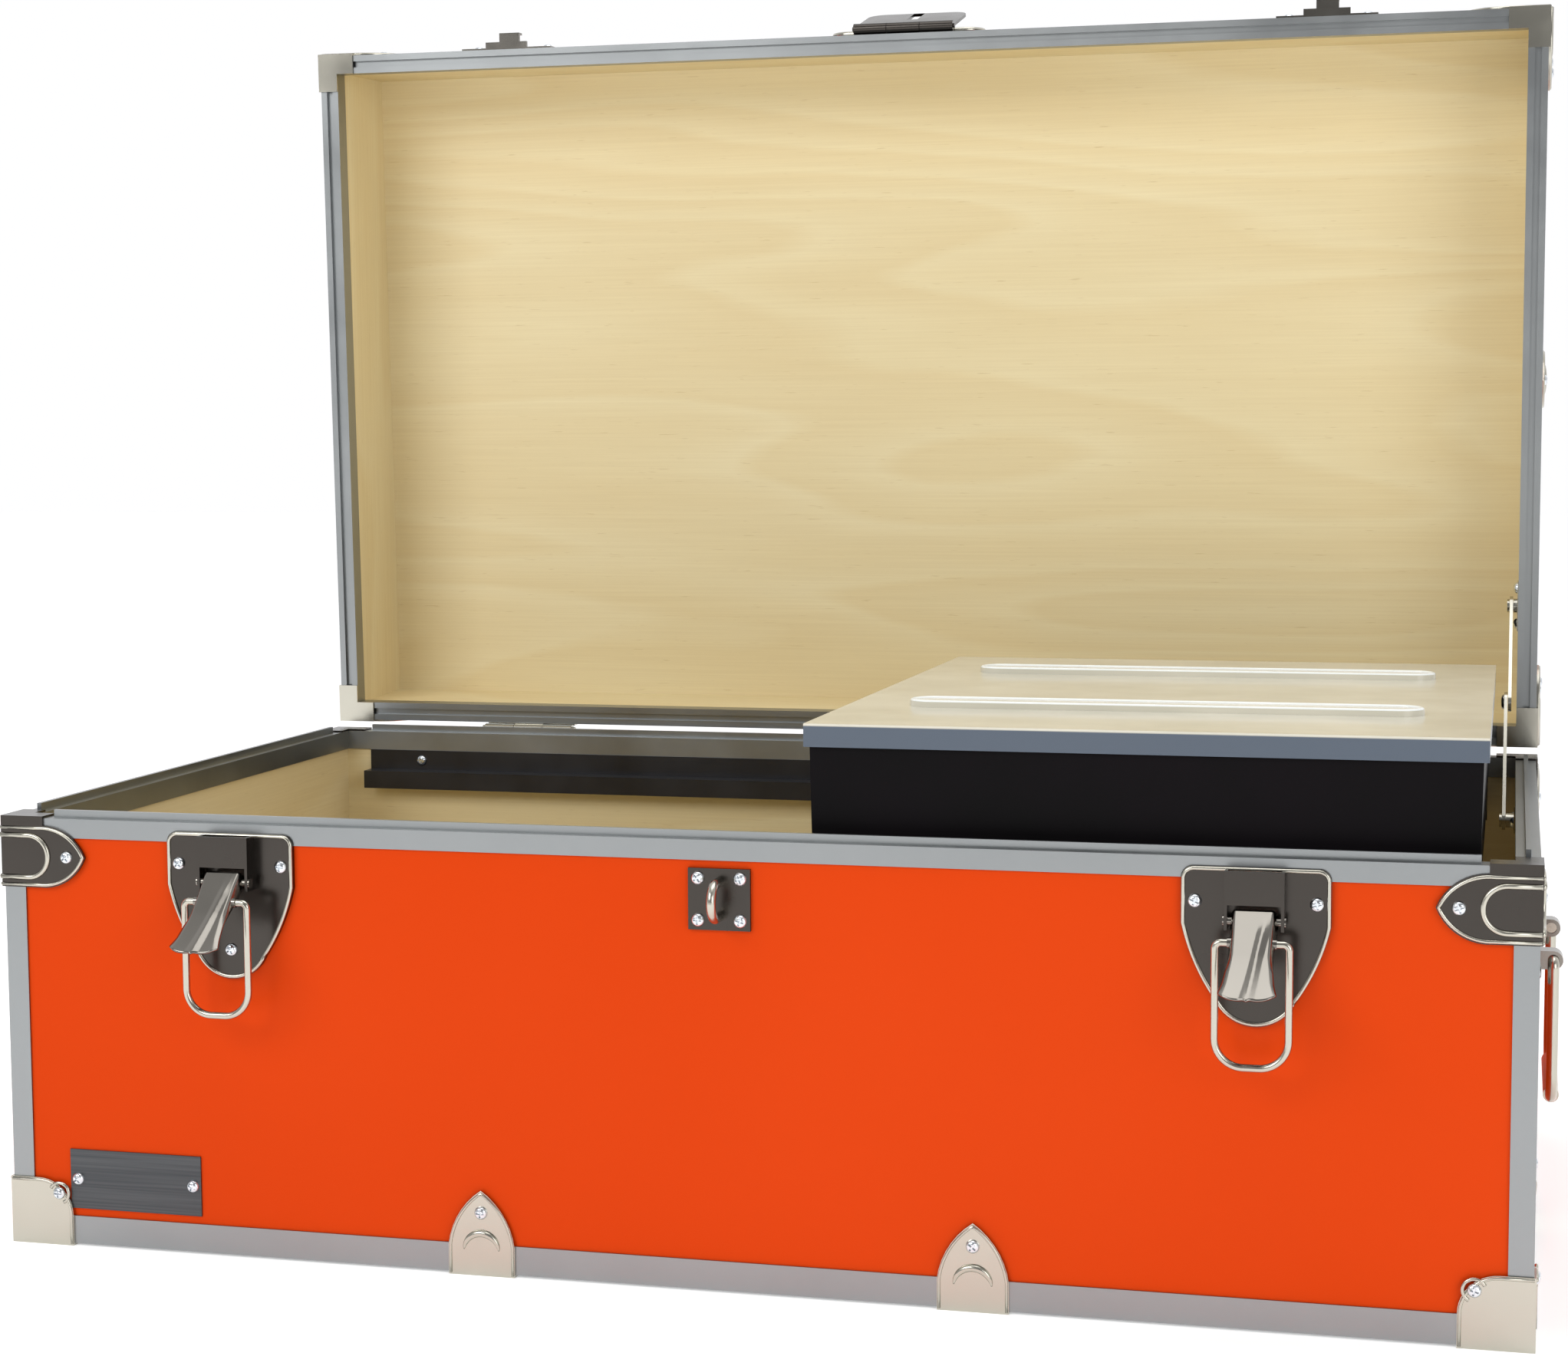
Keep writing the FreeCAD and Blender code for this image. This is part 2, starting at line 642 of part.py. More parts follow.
plate_front = half_depth + s.latch_sheet
pivot_y = -plate_front - s.pivot_reach
pivot_z = rim_z - s.latch_drop - s.pivot_drop


def latch_plate(name, x):
    """A shield plate, dished behind the rim's leg, with a raised bracket that holds the pivot."""
    half = s.latch_width / 2
    top = rim_z - s.latch_drop
    low = top - s.latch_height
    shoulder = top - s.latch_height * 0.36
    belly = top - s.latch_height * 0.6
    waist = top - s.latch_height * 0.84
    turn = s.latch_corner
    outline = [(turn - half, top), (-half, top - turn, turn * 0.29 - half, top - turn * 0.29),
               (-half, shoulder), (-half * 0.54, waist, -half * 0.83, belly),
               (half * 0.54, waist, 0, low), (half, shoulder, half * 0.83, belly),
               (half, top - turn), (half - turn, top, half - turn * 0.29, top - turn * 0.29)]
    shield = slab(f"{name}_shield", "XZ_Plane", outline, skin_y, s.latch_sheet + s.trim)
    behind = box(f"{name}_behind", (-half * 2, half * 2), (-half_depth, -skin_y),
                 (rim_z - s.rim_outer_leg, rim_z))
    dished = cut(f"{name}_dished", shield, behind)
    side = s.bracket_width / 2
    face = -plate_front - s.bracket_reach
    ear_low = pivot_z - s.latch_pin * 2.2
    bridge = box(f"{name}_bridge", (-side, side), (face, face + s.bracket_sheet),
                 (pivot_z + s.latch_pin * 4, top - 1))
    ears = [box(f"{name}_ear_{i}", span, (face, -plate_front + s.latch_sheet / 2),
                (ear_low, top - 1)) for i, span in
            enumerate([(-side, s.bracket_sheet - side), (side - s.bracket_sheet, side)])]
    solid = fuse(f"{name}_solid", [dished, bridge, *ears])
    bore = cylinder(f"{name}_bore", "x", (pivot_y, pivot_z), s.latch_pin + s.pin_clearance,
                    -side * 2, side * 2)
    bored = cut(f"{name}_bored", solid, bore)
    bored.Placement = Placement(Vector(float(x), 0, 0), Rotation())
    for along in (-0.81, 0.81):
        add_screw("base", x + half * along, -plate_front, top - s.latch_height * 0.22, (0, 1, 0))
    add_screw("base", x, -plate_front, low + s.latch_height * 0.2, (0, 1, 0))
    return bored


def latch_pin(name, x):
    half = s.bracket_width / 2
    axis = (pivot_y, pivot_z)
    shaft = cylinder(f"{name}_shaft", "x", axis, s.latch_pin, x - half - 0.8, x + half + 0.8)
    heads = [cylinder(f"{name}_head_{i}", "x", axis, s.latch_pin * 1.35, *span) for i, span in
             enumerate([(x - half - 0.8, x - half - 0.1), (x + half + 0.1, x + half + 0.8)])]
    return fuse(name, [shaft, *heads])


loop_y = -1.5
bush_radius = s.loop_wire + s.pin_clearance + s.bush_wall


def lever(name):
    """A folded lever hanging from the origin, its web in front and its flanges to the back."""
    half = s.lever_width / 2
    front = as_size(-5)
    web = box(f"{name}_web", (-half, half), (front, front + s.lever_sheet),
              (-s.lever_length, as_size(3)))
    lip = box(f"{name}_lip", (-half, half), (front - 3, front + s.lever_sheet),
              (-s.lever_length - 1.2, -s.lever_length))
    flanges = [box(f"{name}_flange_{i}", span, (front, as_size(3)),
                   (-s.loop_drop - s.loop_wire * 2.2, as_size(3))) for i, span in
               enumerate([(-half, s.lever_sheet - half), (half - s.lever_sheet, half)])]
    solid = fuse(f"{name}_solid", [web, lip, *flanges])
    bores = group(f"{name}_bores", [
        cylinder(f"{name}_pivot_bore", "x", (as_size(0), as_size(0)),
                 s.latch_pin + s.pin_clearance, -half * 2, half * 2),
        cylinder(f"{name}_loop_bore", "x", (as_size(loop_y), -s.loop_drop),
                 bush_radius + s.pin_clearance, -half * 2, half * 2)])
    return cut(name, solid, bores)


def latch_bushes(name):
    """Two plain tubes in the lever's flanges. The loop's inturned ends turn inside them."""
    outer = s.lever_width / 2
    spans = [(-outer - s.bush_overhang, s.lever_sheet + s.bush_overhang - outer),
             (outer - s.lever_sheet - s.bush_overhang, outer + s.bush_overhang)]
    centre = (as_size(0), as_size(0))
    tubes = [cylinder(f"{name}_tube_{i}", "x", centre, bush_radius, *span)
             for i, span in enumerate(spans)]
    bore = cylinder(f"{name}_bore", "x", centre, s.loop_wire + s.pin_clearance,
                    -outer * 2, outer * 2)
    return cut(name, group(f"{name}_tubes", tubes), bore)


def latch_loop(name):
    """A wire loop hanging from its two inturned ends, which lie along X through the origin."""
    side = float(s.loop_width / 2 - s.loop_wire)
    inner = float(s.lever_width / 2) - float(s.lever_sheet) - 0.8
    low = float(s.loop_wire) - float(s.loop_length)
    corners = [Vector(-inner, 0, 0), Vector(-side, 0, 0), Vector(-side, 0, low),
               Vector(side, 0, low), Vector(side, 0, 0), Vector(inner, 0, 0)]
    return wire_rod(name, corners, [3, float(s.loop_corner), float(s.loop_corner), 3],
                    float(s.loop_wire))


def tilted(x):
    """Where a latch's lever sits: turned out from the plate by its resting tilt."""
    outwards = Rotation(Vector(1, 0, 0), -float(s.lever_tilt))
    return Placement(Vector(float(x), float(pivot_y), float(pivot_z)), outwards)


latches = {}
for hand, way in HANDS.items():
    x = s.latch_spread * way
    lever_place = tilted(x)
    loop_centre = lever_place.multVec(Vector(0, loop_y, -float(s.loop_drop)))
    latches[hand] = SimpleNamespace(
        plate=latch_plate(f"{hand}_latch_plate_raw", x), pin=latch_pin(f"{hand}_latch_pin", x),
        lever=lever(f"{hand}_lever_raw"), loop=latch_loop(f"{hand}_loop_raw"),
        bushes=latch_bushes(f"{hand}_bushes_raw"),
        lever_place=lever_place, loop_place=Placement(loop_centre, Rotation()))


def strike(name, x):
    """The lid's catch: a plate over the rim with a block, and a narrow lip that holds the loop."""
    half = s.strike_width / 2
    low = lid_rim_z + 1
    high = low + s.strike_height
    sheet = s.latch_sheet
    plate = box(f"{name}_plate", (x - half, x + half), (-half_depth - sheet, -skin_y), (low, high))
    behind = box(f"{name}_behind", (x - half * 2, x + half * 2), (-half_depth, -skin_y),
                 (lid_rim_z, lid_rim_z + s.rim_outer_leg))
    seated = cut(f"{name}_seated", plate, behind)
    broad = s.strike_block / 2
    block = box(f"{name}_block", (x - broad, x + broad),
                (-half_depth - s.block_reach, -half_depth - sheet / 2),
                (low, low + s.block_height))
    side = s.hook_width / 2
    shelf_low = low + s.strike_step
    shelf = box(f"{name}_shelf", (x - side, x + side),
                (-half_depth - s.strike_reach, -half_depth - sheet / 2),
                (shelf_low, shelf_low + s.latch_sheet * 2))
    lip = box(f"{name}_lip", (x - side, x + side),
              (-half_depth - s.strike_reach, s.latch_sheet * 1.2 - half_depth - s.strike_reach),
              (shelf_low, shelf_low + s.loop_wire * 3.4))
    for along in (-0.78, 0.78):
        add_screw("lid", x + half * along, -half_depth - sheet, low + s.strike_height * 0.62,
                  (0, 1, 0))
    return fuse(name, [seated, block, shelf, lip])


# ---------------------------------------------------------------- hasp and staple

staple_front = skin_y + s.staple_sheet
eye_z = s.staple_top - s.staple_height / 2
half_staple = s.staple_width / 2
staple_plate = box("staple_plate_raw", (-half_staple, half_staple), (-staple_front, -skin_y),
                   (s.staple_top - s.staple_height, s.staple_top))
for across in (-0.68, 0.68):
    for up in (-0.68, 0.68):
        add_screw("base", half_staple * across, -staple_front, eye_z + s.staple_height / 2 * up,
                  (0, 1, 0))
eye_out = -float(staple_front + s.eye_leg + s.eye_radius)
staple_eye = wire_rod(
    "staple_eye_raw",
    [Vector(0, -float(staple_front), float(eye_z - s.eye_radius)),
     Vector(0, eye_out, float(eye_z - s.eye_radius)),
     Vector(0, eye_out, float(eye_z + s.eye_radius)),
     Vector(0, -float(staple_front), float(eye_z + s.eye_radius))],
    [float(s.eye_radius) - 0.01] * 2, float(s.eye_wire))

hasp_axis = (-half_depth - s.hasp_standoff, lid_rim_z + s.hasp_rise)
half_leaf = s.leaf_width / 2
third_leaf = s.leaf_width / 6


def hasp_plate(name):
    """A round-ended plate on the lid's front, with the two outer knuckles of the hasp."""
    end = s.hasp_height / 2
    run = s.hasp_width / 2 - end
    low = lid_rim_z + s.hasp_rise + s.hasp_knuckle + 0.5
    high = low + s.hasp_height
    middle = (low + high) / 2
    outline = [(-run, low, -run - end, middle), (run, low), (run, high, run + end, middle),
               (-run, high)]
    plate = slab(f"{name}_plate", "XZ_Plane", outline, skin_y, s.trim + s.hasp_sheet)
    spans = [(-half_leaf, -third_leaf - s.knuckle_gap / 2), (third_leaf + s.knuckle_gap / 2, half_leaf)]
    arms = [box(f"{name}_arm_{i}", span, (-half_depth - s.hasp_sheet, -half_depth),
                (lid_rim_z + s.hasp_rise, low + 2)) for i, span in enumerate(spans)]
    knuckles = [cylinder(f"{name}_knuckle_{i}", "x", hasp_axis, s.hasp_knuckle, *span)
                for i, span in enumerate(spans)]
    behind = box(f"{name}_behind", (-run * 3, run * 3), (-half_depth, -skin_y),
                 (lid_rim_z, lid_rim_z + s.rim_outer_leg))
    solid = cut(f"{name}_seated", fuse(f"{name}_solid", [plate, *arms, *knuckles]), behind)
    bore = cylinder(f"{name}_bore", "x", hasp_axis, s.hasp_pin + s.pin_clearance,
                    -half_leaf * 2, half_leaf * 2)
    for along in (-1, 1):
        add_screw("lid", run * along, -half_depth - s.hasp_sheet, middle, (0, 1, 0))
    return cut(f"{name}_bored", solid, bore)


def hasp_leaf(name):
    """The leaf hanging from its pin at the origin, slotted for the staple's eye."""
    thick = s.hasp_sheet / 2
    drop = s.leaf_length
    to_eye = lid_rim_z + s.hasp_rise - eye_z
    round_end = s.leaf_width / 6
    outline = [(-half_leaf, -s.hasp_knuckle - 0.6), (-half_leaf, round_end - drop),
               (round_end - half_leaf, -drop, round_end * 0.29 - half_leaf, round_end * 0.29 - drop),
               (half_leaf - round_end, -drop),
               (half_leaf, round_end - drop, half_leaf - round_end * 0.29, round_end * 0.29 - drop),
               (half_leaf, -s.hasp_knuckle - 0.6)]
    plate = slab(f"{name}_plate", "XZ_Plane", outline, -thick, s.hasp_sheet)
    neck = box(f"{name}_neck", (s.knuckle_gap / 2 - third_leaf, third_leaf - s.knuckle_gap / 2),
               (-thick, thick), (-s.hasp_knuckle - 1, as_size(0)))
    knuckle = cylinder(f"{name}_knuckle", "x", (as_size(0), as_size(0)), s.hasp_knuckle,
                       s.knuckle_gap / 2 - third_leaf, third_leaf - s.knuckle_gap / 2)
    solid = fuse(f"{name}_solid", [plate, neck, knuckle])
    wide = s.eye_wire + s.slot_clearance
    tall = s.eye_radius + s.eye_wire + s.slot_clearance * 1.4
    holes = group(f"{name}_holes", [
        box(f"{name}_slot", (-wide, wide), (-thick * 3, thick * 3), (-to_eye - tall, tall - to_eye)),
        cylinder(f"{name}_bore", "x", (as_size(0), as_size(0)), s.hasp_pin + s.pin_clearance,
                 -half_leaf, half_leaf)])
    return cut(name, solid, holes)


hasp_pin = cylinder("hasp_pin_raw", "x", hasp_axis, s.hasp_pin, -half_leaf - 1, half_leaf + 1)
leaf_turn = Rotation(Vector(1, 0, 0), -float(s.hasp_open))
leaf_place = Placement(Vector(0, float(hasp_axis[0]), float(hasp_axis[1])), leaf_turn)


# ---------------------------------------------------------------- side handles

bail_x = skin_x + s.handle_sheet + s.bail_standoff
bail_z = s.handle_top - s.bail_axis_drop


def handle_plate(name):
    """A wall plate with two eyes, drawn on the right side."""
    half = s.handle_length / 2
    front = skin_x + s.handle_sheet
    plate = box(f"{name}_plate", (skin_x, front), (-half, half),
                (s.handle_top - s.handle_height, s.handle_top))
    eye = s.bail_wire + 2
    pieces = [plate]
    bores = []
    for index, way in enumerate((-1, 1)):
        near, far = s.handle_spread * way - 6, s.handle_spread * way + 6
        pieces.append(box(f"{name}_arm_{index}", (front - s.handle_sheet / 2, bail_x), (near, far),
                          (bail_z - eye, bail_z + eye)))
        pieces.append(cylinder(f"{name}_eye_{index}", "y", (bail_x, bail_z), eye, near, far))
        bores.append(cylinder(f"{name}_bore_{index}", "y", (bail_x, bail_z),
                              s.bail_wire + s.pin_clearance, near - 1, far + 1))
    return cut(f"{name}_bored", fuse(f"{name}_solid", pieces), group(f"{name}_bores", bores))


def handle_bail(name):
    """A wire bail hanging from its inturned ends, drawn with its axis through the origin."""
    spread = float(s.handle_spread)
    leg = spread + 6 + float(s.bail_wire) + 0.8
    drop = -float(s.bail_drop)
    corners = [Vector(0, 5 - spread, 0), Vector(0, -leg, 0), Vector(0, -leg, drop),
               Vector(0, leg, drop), Vector(0, leg, 0), Vector(0, spread - 5, 0)]
    corners[0].y = -(spread - 5)
    return wire_rod(name, corners, [3.4, 14, 14, 3.4], float(s.bail_wire))


def handle_grip(name):
    half = s.grip_length / 2
    tube = cylinder(f"{name}_tube", "y", (as_size(0), -s.bail_drop), s.grip_radius, -half, half)
    bore = cylinder(f"{name}_bore", "y", (as_size(0), -s.bail_drop), s.bail_wire + s.pin_clearance,
                    -half * 2, half * 2)
    return cut(name, tube, bore)


for side in ("left", "right"):
    for along in (-0.88, 0.88):
        for up in (0.25, 0.8):
            screw_on_side("base", side, s.handle_length / 2 * along, skin_x + s.handle_sheet,
                          s.handle_top - s.handle_height * up)


# ---------------------------------------------------------------- rails and tray

tray_right = inner_x - s.tray_end_gap
tray_half_depth = inner_y - s.tray_side_gap

rail_half = inner_x - s.rail_end_gap
rail_top = rim_z - s.rim_inner_leg
ledge_top = rail_top - s.rail_web + s.rail_sheet


def rail_profile():
    wall = inner_y
    web = wall - s.rail_sheet
    tip = wall - s.rail_ledge
    ledge_low = ledge_top - s.rail_sheet
    lip_low = ledge_low - s.rail_lip
    return [(wall, rail_top), (web, rail_top), (web, ledge_top), (tip, ledge_top),
            (tip, lip_low), (tip + s.rail_sheet, lip_low), (tip + s.rail_sheet, ledge_low),
            (wall, ledge_low)]


def rail(name, angle):
    bar = slab(name, "YZ_Plane", rail_profile(), -rail_half, rail_half * 2)
    bar.Placement = about_z(angle)
    return bar


for way in (-1, 1):
    for along in (-0.9, 0, 0.9):
        add_screw("base", rail_half * along, (inner_y - s.rail_sheet) * way,
                  rail_top - s.rail_web * 0.45, (0, way, 0))

tray_top = ledge_top + s.tray_height
band_low = tray_top - s.tray_band


def tapered(name, inset, low, high):
    """A block narrower at the bottom by the draft, inset from the tray's outside."""
    block = doc.addObject("Part::Wedge", name)
    block.Placement = Placement(Vector(), Rotation(Vector(1, 0, 0), 90))
    edge = inset + s.tray_wall
    for prop, value in (("Ymin", low), ("Ymax", high),
                        ("Xmin", s.tray_left + edge + s.tray_draft),
                        ("Xmax", tray_right - edge - s.tray_draft),
                        ("X2min", s.tray_left + edge), ("X2max", tray_right - edge),
                        ("Zmin", edge + s.tray_draft - tray_half_depth),
                        ("Zmax", tray_half_depth - edge - s.tray_draft),
                        ("Z2min", edge - tray_half_depth),
                        ("Z2max", tray_half_depth - edge)):
        bind(block, prop, value)
    return block


tray_rim_z = tray_top - s.tray_lid_sheet - s.tray_clearance
tray_body = cut("tray_body_raw", tapered("tray_outside", as_size(0), ledge_top, tray_rim_z),
                tapered("tray_inside", s.tray_wall, ledge_top + s.tray_wall, tray_rim_z + 1))


def tray_lid(name):
    """A lid whose skirt drops over the tray's rim, with two long raised ribs."""
    half = tray_half_depth
    outer = box(f"{name}_outer", (s.tray_left, tray_right), (-half, half), (band_low, tray_top))
    wall = s.tray_wall - s.tray_clearance
    inner = box(f"{name}_inner", (s.tray_left + wall, tray_right - wall), (wall - half, half - wall),
                (band_low - 1, tray_top - s.tray_lid_sheet))
    ribs = []
    end = s.rib_width / 2
    left = s.tray_left + s.rib_margin + end
    right = tray_right - s.rib_margin - end
    for index, centre in enumerate((-half * 0.5, half * 0.5)):
        near, far = centre - end, centre + end
        outline = [(left, near, left - end, centre), (right, near),
                   (right, far, right + end, centre), (left, far)]
        ribs.append(slab(f"{name}_rib_{index}", "XY_Plane", outline, tray_top - s.tray_lid_sheet / 2,
                         s.rib_rise + s.tray_lid_sheet / 2))
    return fuse(name, [cut(f"{name}_shell", outer, inner), *ribs])


# ---------------------------------------------------------------- lid stay

stay_pivot_base = (hinge_y - s.stay_base_back, hinge_z - s.stay_base_down)
upper_open = (hinge_y + s.stay_lid_back, hinge_z + s.stay_lid_up)


def link_geometry():
    """The elbow with the lid open and shut, for two links that meet between fixed pivots."""
    base = Vector(0, float(stay_pivot_base[0]), float(stay_pivot_base[1]))
    lid_open = Vector(0, float(upper_open[0]), float(upper_open[1]))
    turn_shut = Rotation(Vector(1, 0, 0), float(s.open_angle))
    lid_shut = hinge_point + turn_shut.multVec(lid_open - hinge_point)
    lower = float(s.stay_lower)
    upper = (lid_open - base).Length + 0.3 - lower
    elbows = []
    for lid in (lid_open, lid_shut):
        span = (lid - base).Length
        swing = math.acos((lower ** 2 + span ** 2 - upper ** 2) / (2 * lower * span))
        start = math.atan2(lid.z - base.z, lid.y - base.y) + swing
        elbows.append((start, base + Vector(0, math.cos(start), math.sin(start)) * lower))
    return base, lid_open, lid_shut, elbows


stay_base, stay_lid_open, stay_lid_shut, stay_elbows = link_geometry()
elbow_open, elbow_shut = stay_elbows[0][1], stay_elbows[1][1]
bracket_face = inner_x - s.stay_bracket
upper_layer = (bracket_face - s.stay_boss - s.stay_sheet, bracket_face - s.stay_boss)
lower_layer = (upper_layer[0] - s.stay_gap - s.stay_sheet, upper_layer[0] - s.stay_gap)


def flat_link(name, start, end, layer, bores):
    """A round-ended strap between two pivots, in a layer of the stay beside the wall."""
    half = s.stay_width / 2
    length = (end - start).Length
    angle = math.degrees(math.atan2(end.z - start.z, end.y - start.y))
    outline = [(0, -half, -half, 0), (length, -half), (length, half, length + half, 0), (0, half)]
    strap = slab(f"{name}_strap", "YZ_Plane", outline, layer[0], layer[1] - layer[0])
    holes = [cylinder(f"{name}_bore_{index}", "x", (as_size(along), as_size(0)),
                      s.stay_pin + s.pin_clearance, layer[0] - 1, layer[1] + 1)
             for index, along in enumerate(bores(length))]
    link = cut(name, strap, group(f"{name}_bores", holes))
    link.Placement = Placement(Vector(0, start.y, start.z), Rotation(Vector(1, 0, 0), angle))
    return link


def stay_bracket(name, centre, part, inner_layer):
    """A wall plate with the rivet that a link turns on, drawn round the pivot at its centre."""
    half = s.stay_width / 2
    y, z = as_size(centre.y), as_size(centre.z)
    plate = box(f"{name}_plate", (bracket_face, inner_x), (y - half * 2.6, y + half * 2.6),
                (z - half, z + half))
    pieces = [plate, cylinder(f"{name}_boss", "x", (y, z), s.stay_pin * 1.8,
                              inner_layer[1] + s.stay_gap / 2, inner_x)]
    pieces.append(cylinder(f"{name}_rivet", "x", (y, z), s.stay_pin, inner_layer[0] - 1.6, inner_x))
    pieces.append(cylinder(f"{name}_head", "x", (y, z), s.stay_pin * 1.7, inner_layer[0] - 1.6,
                           inner_layer[0] - 0.2))
    for way in (-1.9, 1.9):
        add_screw(part, bracket_face, centre.y + float(half) * way, centre.z, (1, 0, 0))
    return fuse(name, pieces)


print("stay: base pivot", stay_base, "lid pivot open", stay_lid_open, "shut", stay_lid_shut)
lower_turn = math.degrees(stay_elbows[1][0] - stay_elbows[0][0])
reach_open, reach_shut = elbow_open - stay_lid_open, elbow_shut - stay_lid_shut
upper_turn = math.degrees(math.atan2(reach_shut.z, reach_shut.y)
                          - math.atan2(reach_open.z, reach_open.y)) % 360
upper_turn -= 360 * (upper_turn > 180)
print(f"stay: links turn {lower_turn:.4f} and {upper_turn - float(s.open_angle):.4f} "
      f"degrees as the lid turns {float(s.open_angle):.1f}")
print("stay: elbow open", elbow_open, "shut", elbow_shut)


# ---------------------------------------------------------------- name plate and screws

name_plate = box("name_plate_raw",
                 (s.plate_left - half_width, s.plate_left + s.plate_width - half_width),
                 (-skin_y - s.plate_sheet, -skin_y), (s.plate_low, s.plate_low + s.plate_height))
for along in (0.06, 0.94):
    add_screw("base", s.plate_left + s.plate_width * along - half_width, -skin_y - s.plate_sheet,
              s.plate_low + s.plate_height / 2, (0, 1, 0))


def screw_solid():
    """A pan head with a crossed recess on a plain shank, its head's underside at the origin."""
    head, rise = float(s.screw_head), float(s.screw_head_rise)
    shank, length = float(s.screw_shank), float(s.screw_length)
    outline = Part.Wire([
        Part.LineSegment(Vector(0, 0, -length), Vector(shank, 0, 1 - length)).toShape(),
        Part.LineSegment(Vector(shank, 0, 1 - length), Vector(shank, 0, 0)).toShape(),
        Part.LineSegment(Vector(shank, 0, 0), Vector(head, 0, 0)).toShape(),
        Part.Arc(Vector(head, 0, 0), Vector(head * 0.8, 0, rise * 0.78),
                 Vector(0, 0, rise)).toShape(),
        Part.LineSegment(Vector(0, 0, rise), Vector(0, 0, -length)).toShape()])
    solid = Part.Face(outline).revolve(Vector(), Vector(0, 0, 1), 360)
    arm, half = head * 0.62, head * 0.13
    for long, wide in ((arm, half), (half, arm)):
        slot = Part.makeBox(long * 2, wide * 2, rise, Vector(-long, -wide, rise * 0.35))
        solid = solid.cut(slot)
    return solid


def screw_group(part):
    """Every screw of one half of the box, as separate solids."""
    template = screw_solid()
    copies = []
    for index, (point, direction) in enumerate(screws[part]):
        copy = template.copy()
        turn = Rotation(Vector(0, 0, -1), direction) * Rotation(Vector(0, 0, 1), 37 * index)
        copy.Placement = Placement(point, turn)
        copies.append(copy)
    return feature(f"{part}_screws_group", Part.makeCompound(copies))


def screw_holes(part):
    radius = float(s.screw_shank + s.screw_clearance)
    back = 0.5
    holes = [Part.makeCylinder(radius, float(s.screw_length) + 2 * back, point - direction * back,
                               direction) for point, direction in screws[part]]
    return feature(f"{part}_screw_holes", Part.makeCompound(holes))


strikes = {hand: strike(f"{hand}_strike_raw", s.latch_spread * way) for hand, way in HANDS.items()}
hasp_base = hasp_plate("hasp_plate_raw")
stay_brackets = {
    "base": stay_bracket("stay_base_bracket_raw", stay_base, "base", lower_layer),
    "lid": stay_bracket("stay_lid_bracket_raw", stay_lid_shut, "lid", upper_layer)}
handles = {"right": handle_plate("right_handle_plate_raw"),
           "left": handle_plate("left_handle_plate_raw")}

holes = {part: screw_holes(part) for part in screws}


def drilled(part, label, raw, pose=None):
    """A base or lid piece with its screw holes, in its place."""
    tool = holes[part]
    node(label, cut(f"{label}_drilled", raw, tool), lid_pose if part == "lid" else pose)


for part, boards in (("base", base_boards), ("lid", lid_boards)):
    for label, board in boards.items():
        drilled(part, label, board)
drilled("base", "base_laminate", base_laminate)
drilled("lid", "lid_laminate", lid_laminate)
drilled("base", "base_bottom_edging", base_bottom_edging)
drilled("base", "base_rim_edging", base_rim_edging)
drilled("lid", "lid_rim_edging", lid_rim_edging)
drilled("lid", "lid_top_edging", lid_top_edging)
node("base_corner_posts", base_posts)
node("lid_corner_posts", lid_posts, lid_pose)
drilled("base", "base_bottom_corners", base_bottom_corners)
drilled("base", "base_rim_corners", base_rim_corners)
drilled("lid", "lid_rim_corners", lid_rim_corners)
drilled("lid", "lid_top_corners", lid_top_corners)
drilled("base", "base_edge_clamps", base_clamps)
drilled("lid", "lid_edge_clamps", lid_clamps)
for part, raw in hinge_leaves.items():
    drilled(part, f"hinge_{part}_leaves", raw)
node("hinge_pins", hinge_pins)
for hand, latch in latches.items():
    drilled("base", f"{hand}_latch_plate", latch.plate)
    node(f"{hand}_latch_lever", latch.lever, latch.lever_place)
    node(f"{hand}_latch_bushes", latch.bushes, latch.loop_place)
    node(f"{hand}_latch_loop", latch.loop, latch.loop_place)
    drilled("lid", f"{hand}_strike", strikes[hand])
node("latch_pins", group("latch_pins_group", [latch.pin for latch in latches.values()]))
drilled("base", "staple_plate", staple_plate)
node("staple_eye", staple_eye)
drilled("lid", "hasp_plate", hasp_base)
node("hasp_leaf", hasp_leaf("hasp_leaf_raw"), lid_pose * leaf_place)
node("hasp_pin", group("hasp_pin_group", [hasp_pin]), lid_pose)
for hand, way in HANDS.items():
    turn = about_z(0 if way > 0 else 180)
    turned = group(f"{hand}_handle_plate_turned", [handles[hand]])
    turned.Placement = turn
    drilled("base", f"{hand}_handle_plate", turned)
    hanging = Placement(Vector(float(bail_x), 0, float(bail_z)), Rotation())
    node(f"{hand}_handle_bail", handle_bail(f"{hand}_bail_raw"), turn * hanging)
    node(f"{hand}_handle_grip", handle_grip(f"{hand}_grip_raw"), turn * hanging)
drilled("base", "front_rail", rail("front_rail_bar", 180))
drilled("base", "back_rail", rail("back_rail_bar", 0))
node("tray_body", tray_body)
node("tray_lid", tray_lid("tray_lid_raw"))
drilled("base", "stay_base_bracket", stay_brackets["base"])
drilled("lid", "stay_lid_bracket", stay_brackets["lid"])
node("stay_lower_link", flat_link("stay_lower_raw", stay_base, elbow_open, lower_layer,
                                  lambda length: [0, length]))
node("stay_upper_link", flat_link("stay_upper_raw", stay_lid_open, elbow_open, upper_layer,
                                  lambda length: [0, length]))
drilled("base", "name_plate", name_plate)
node("base_screws", screw_group("base"))
node("lid_screws", screw_group("lid"), lid_pose)


# ---------------------------------------------------------------- check and write

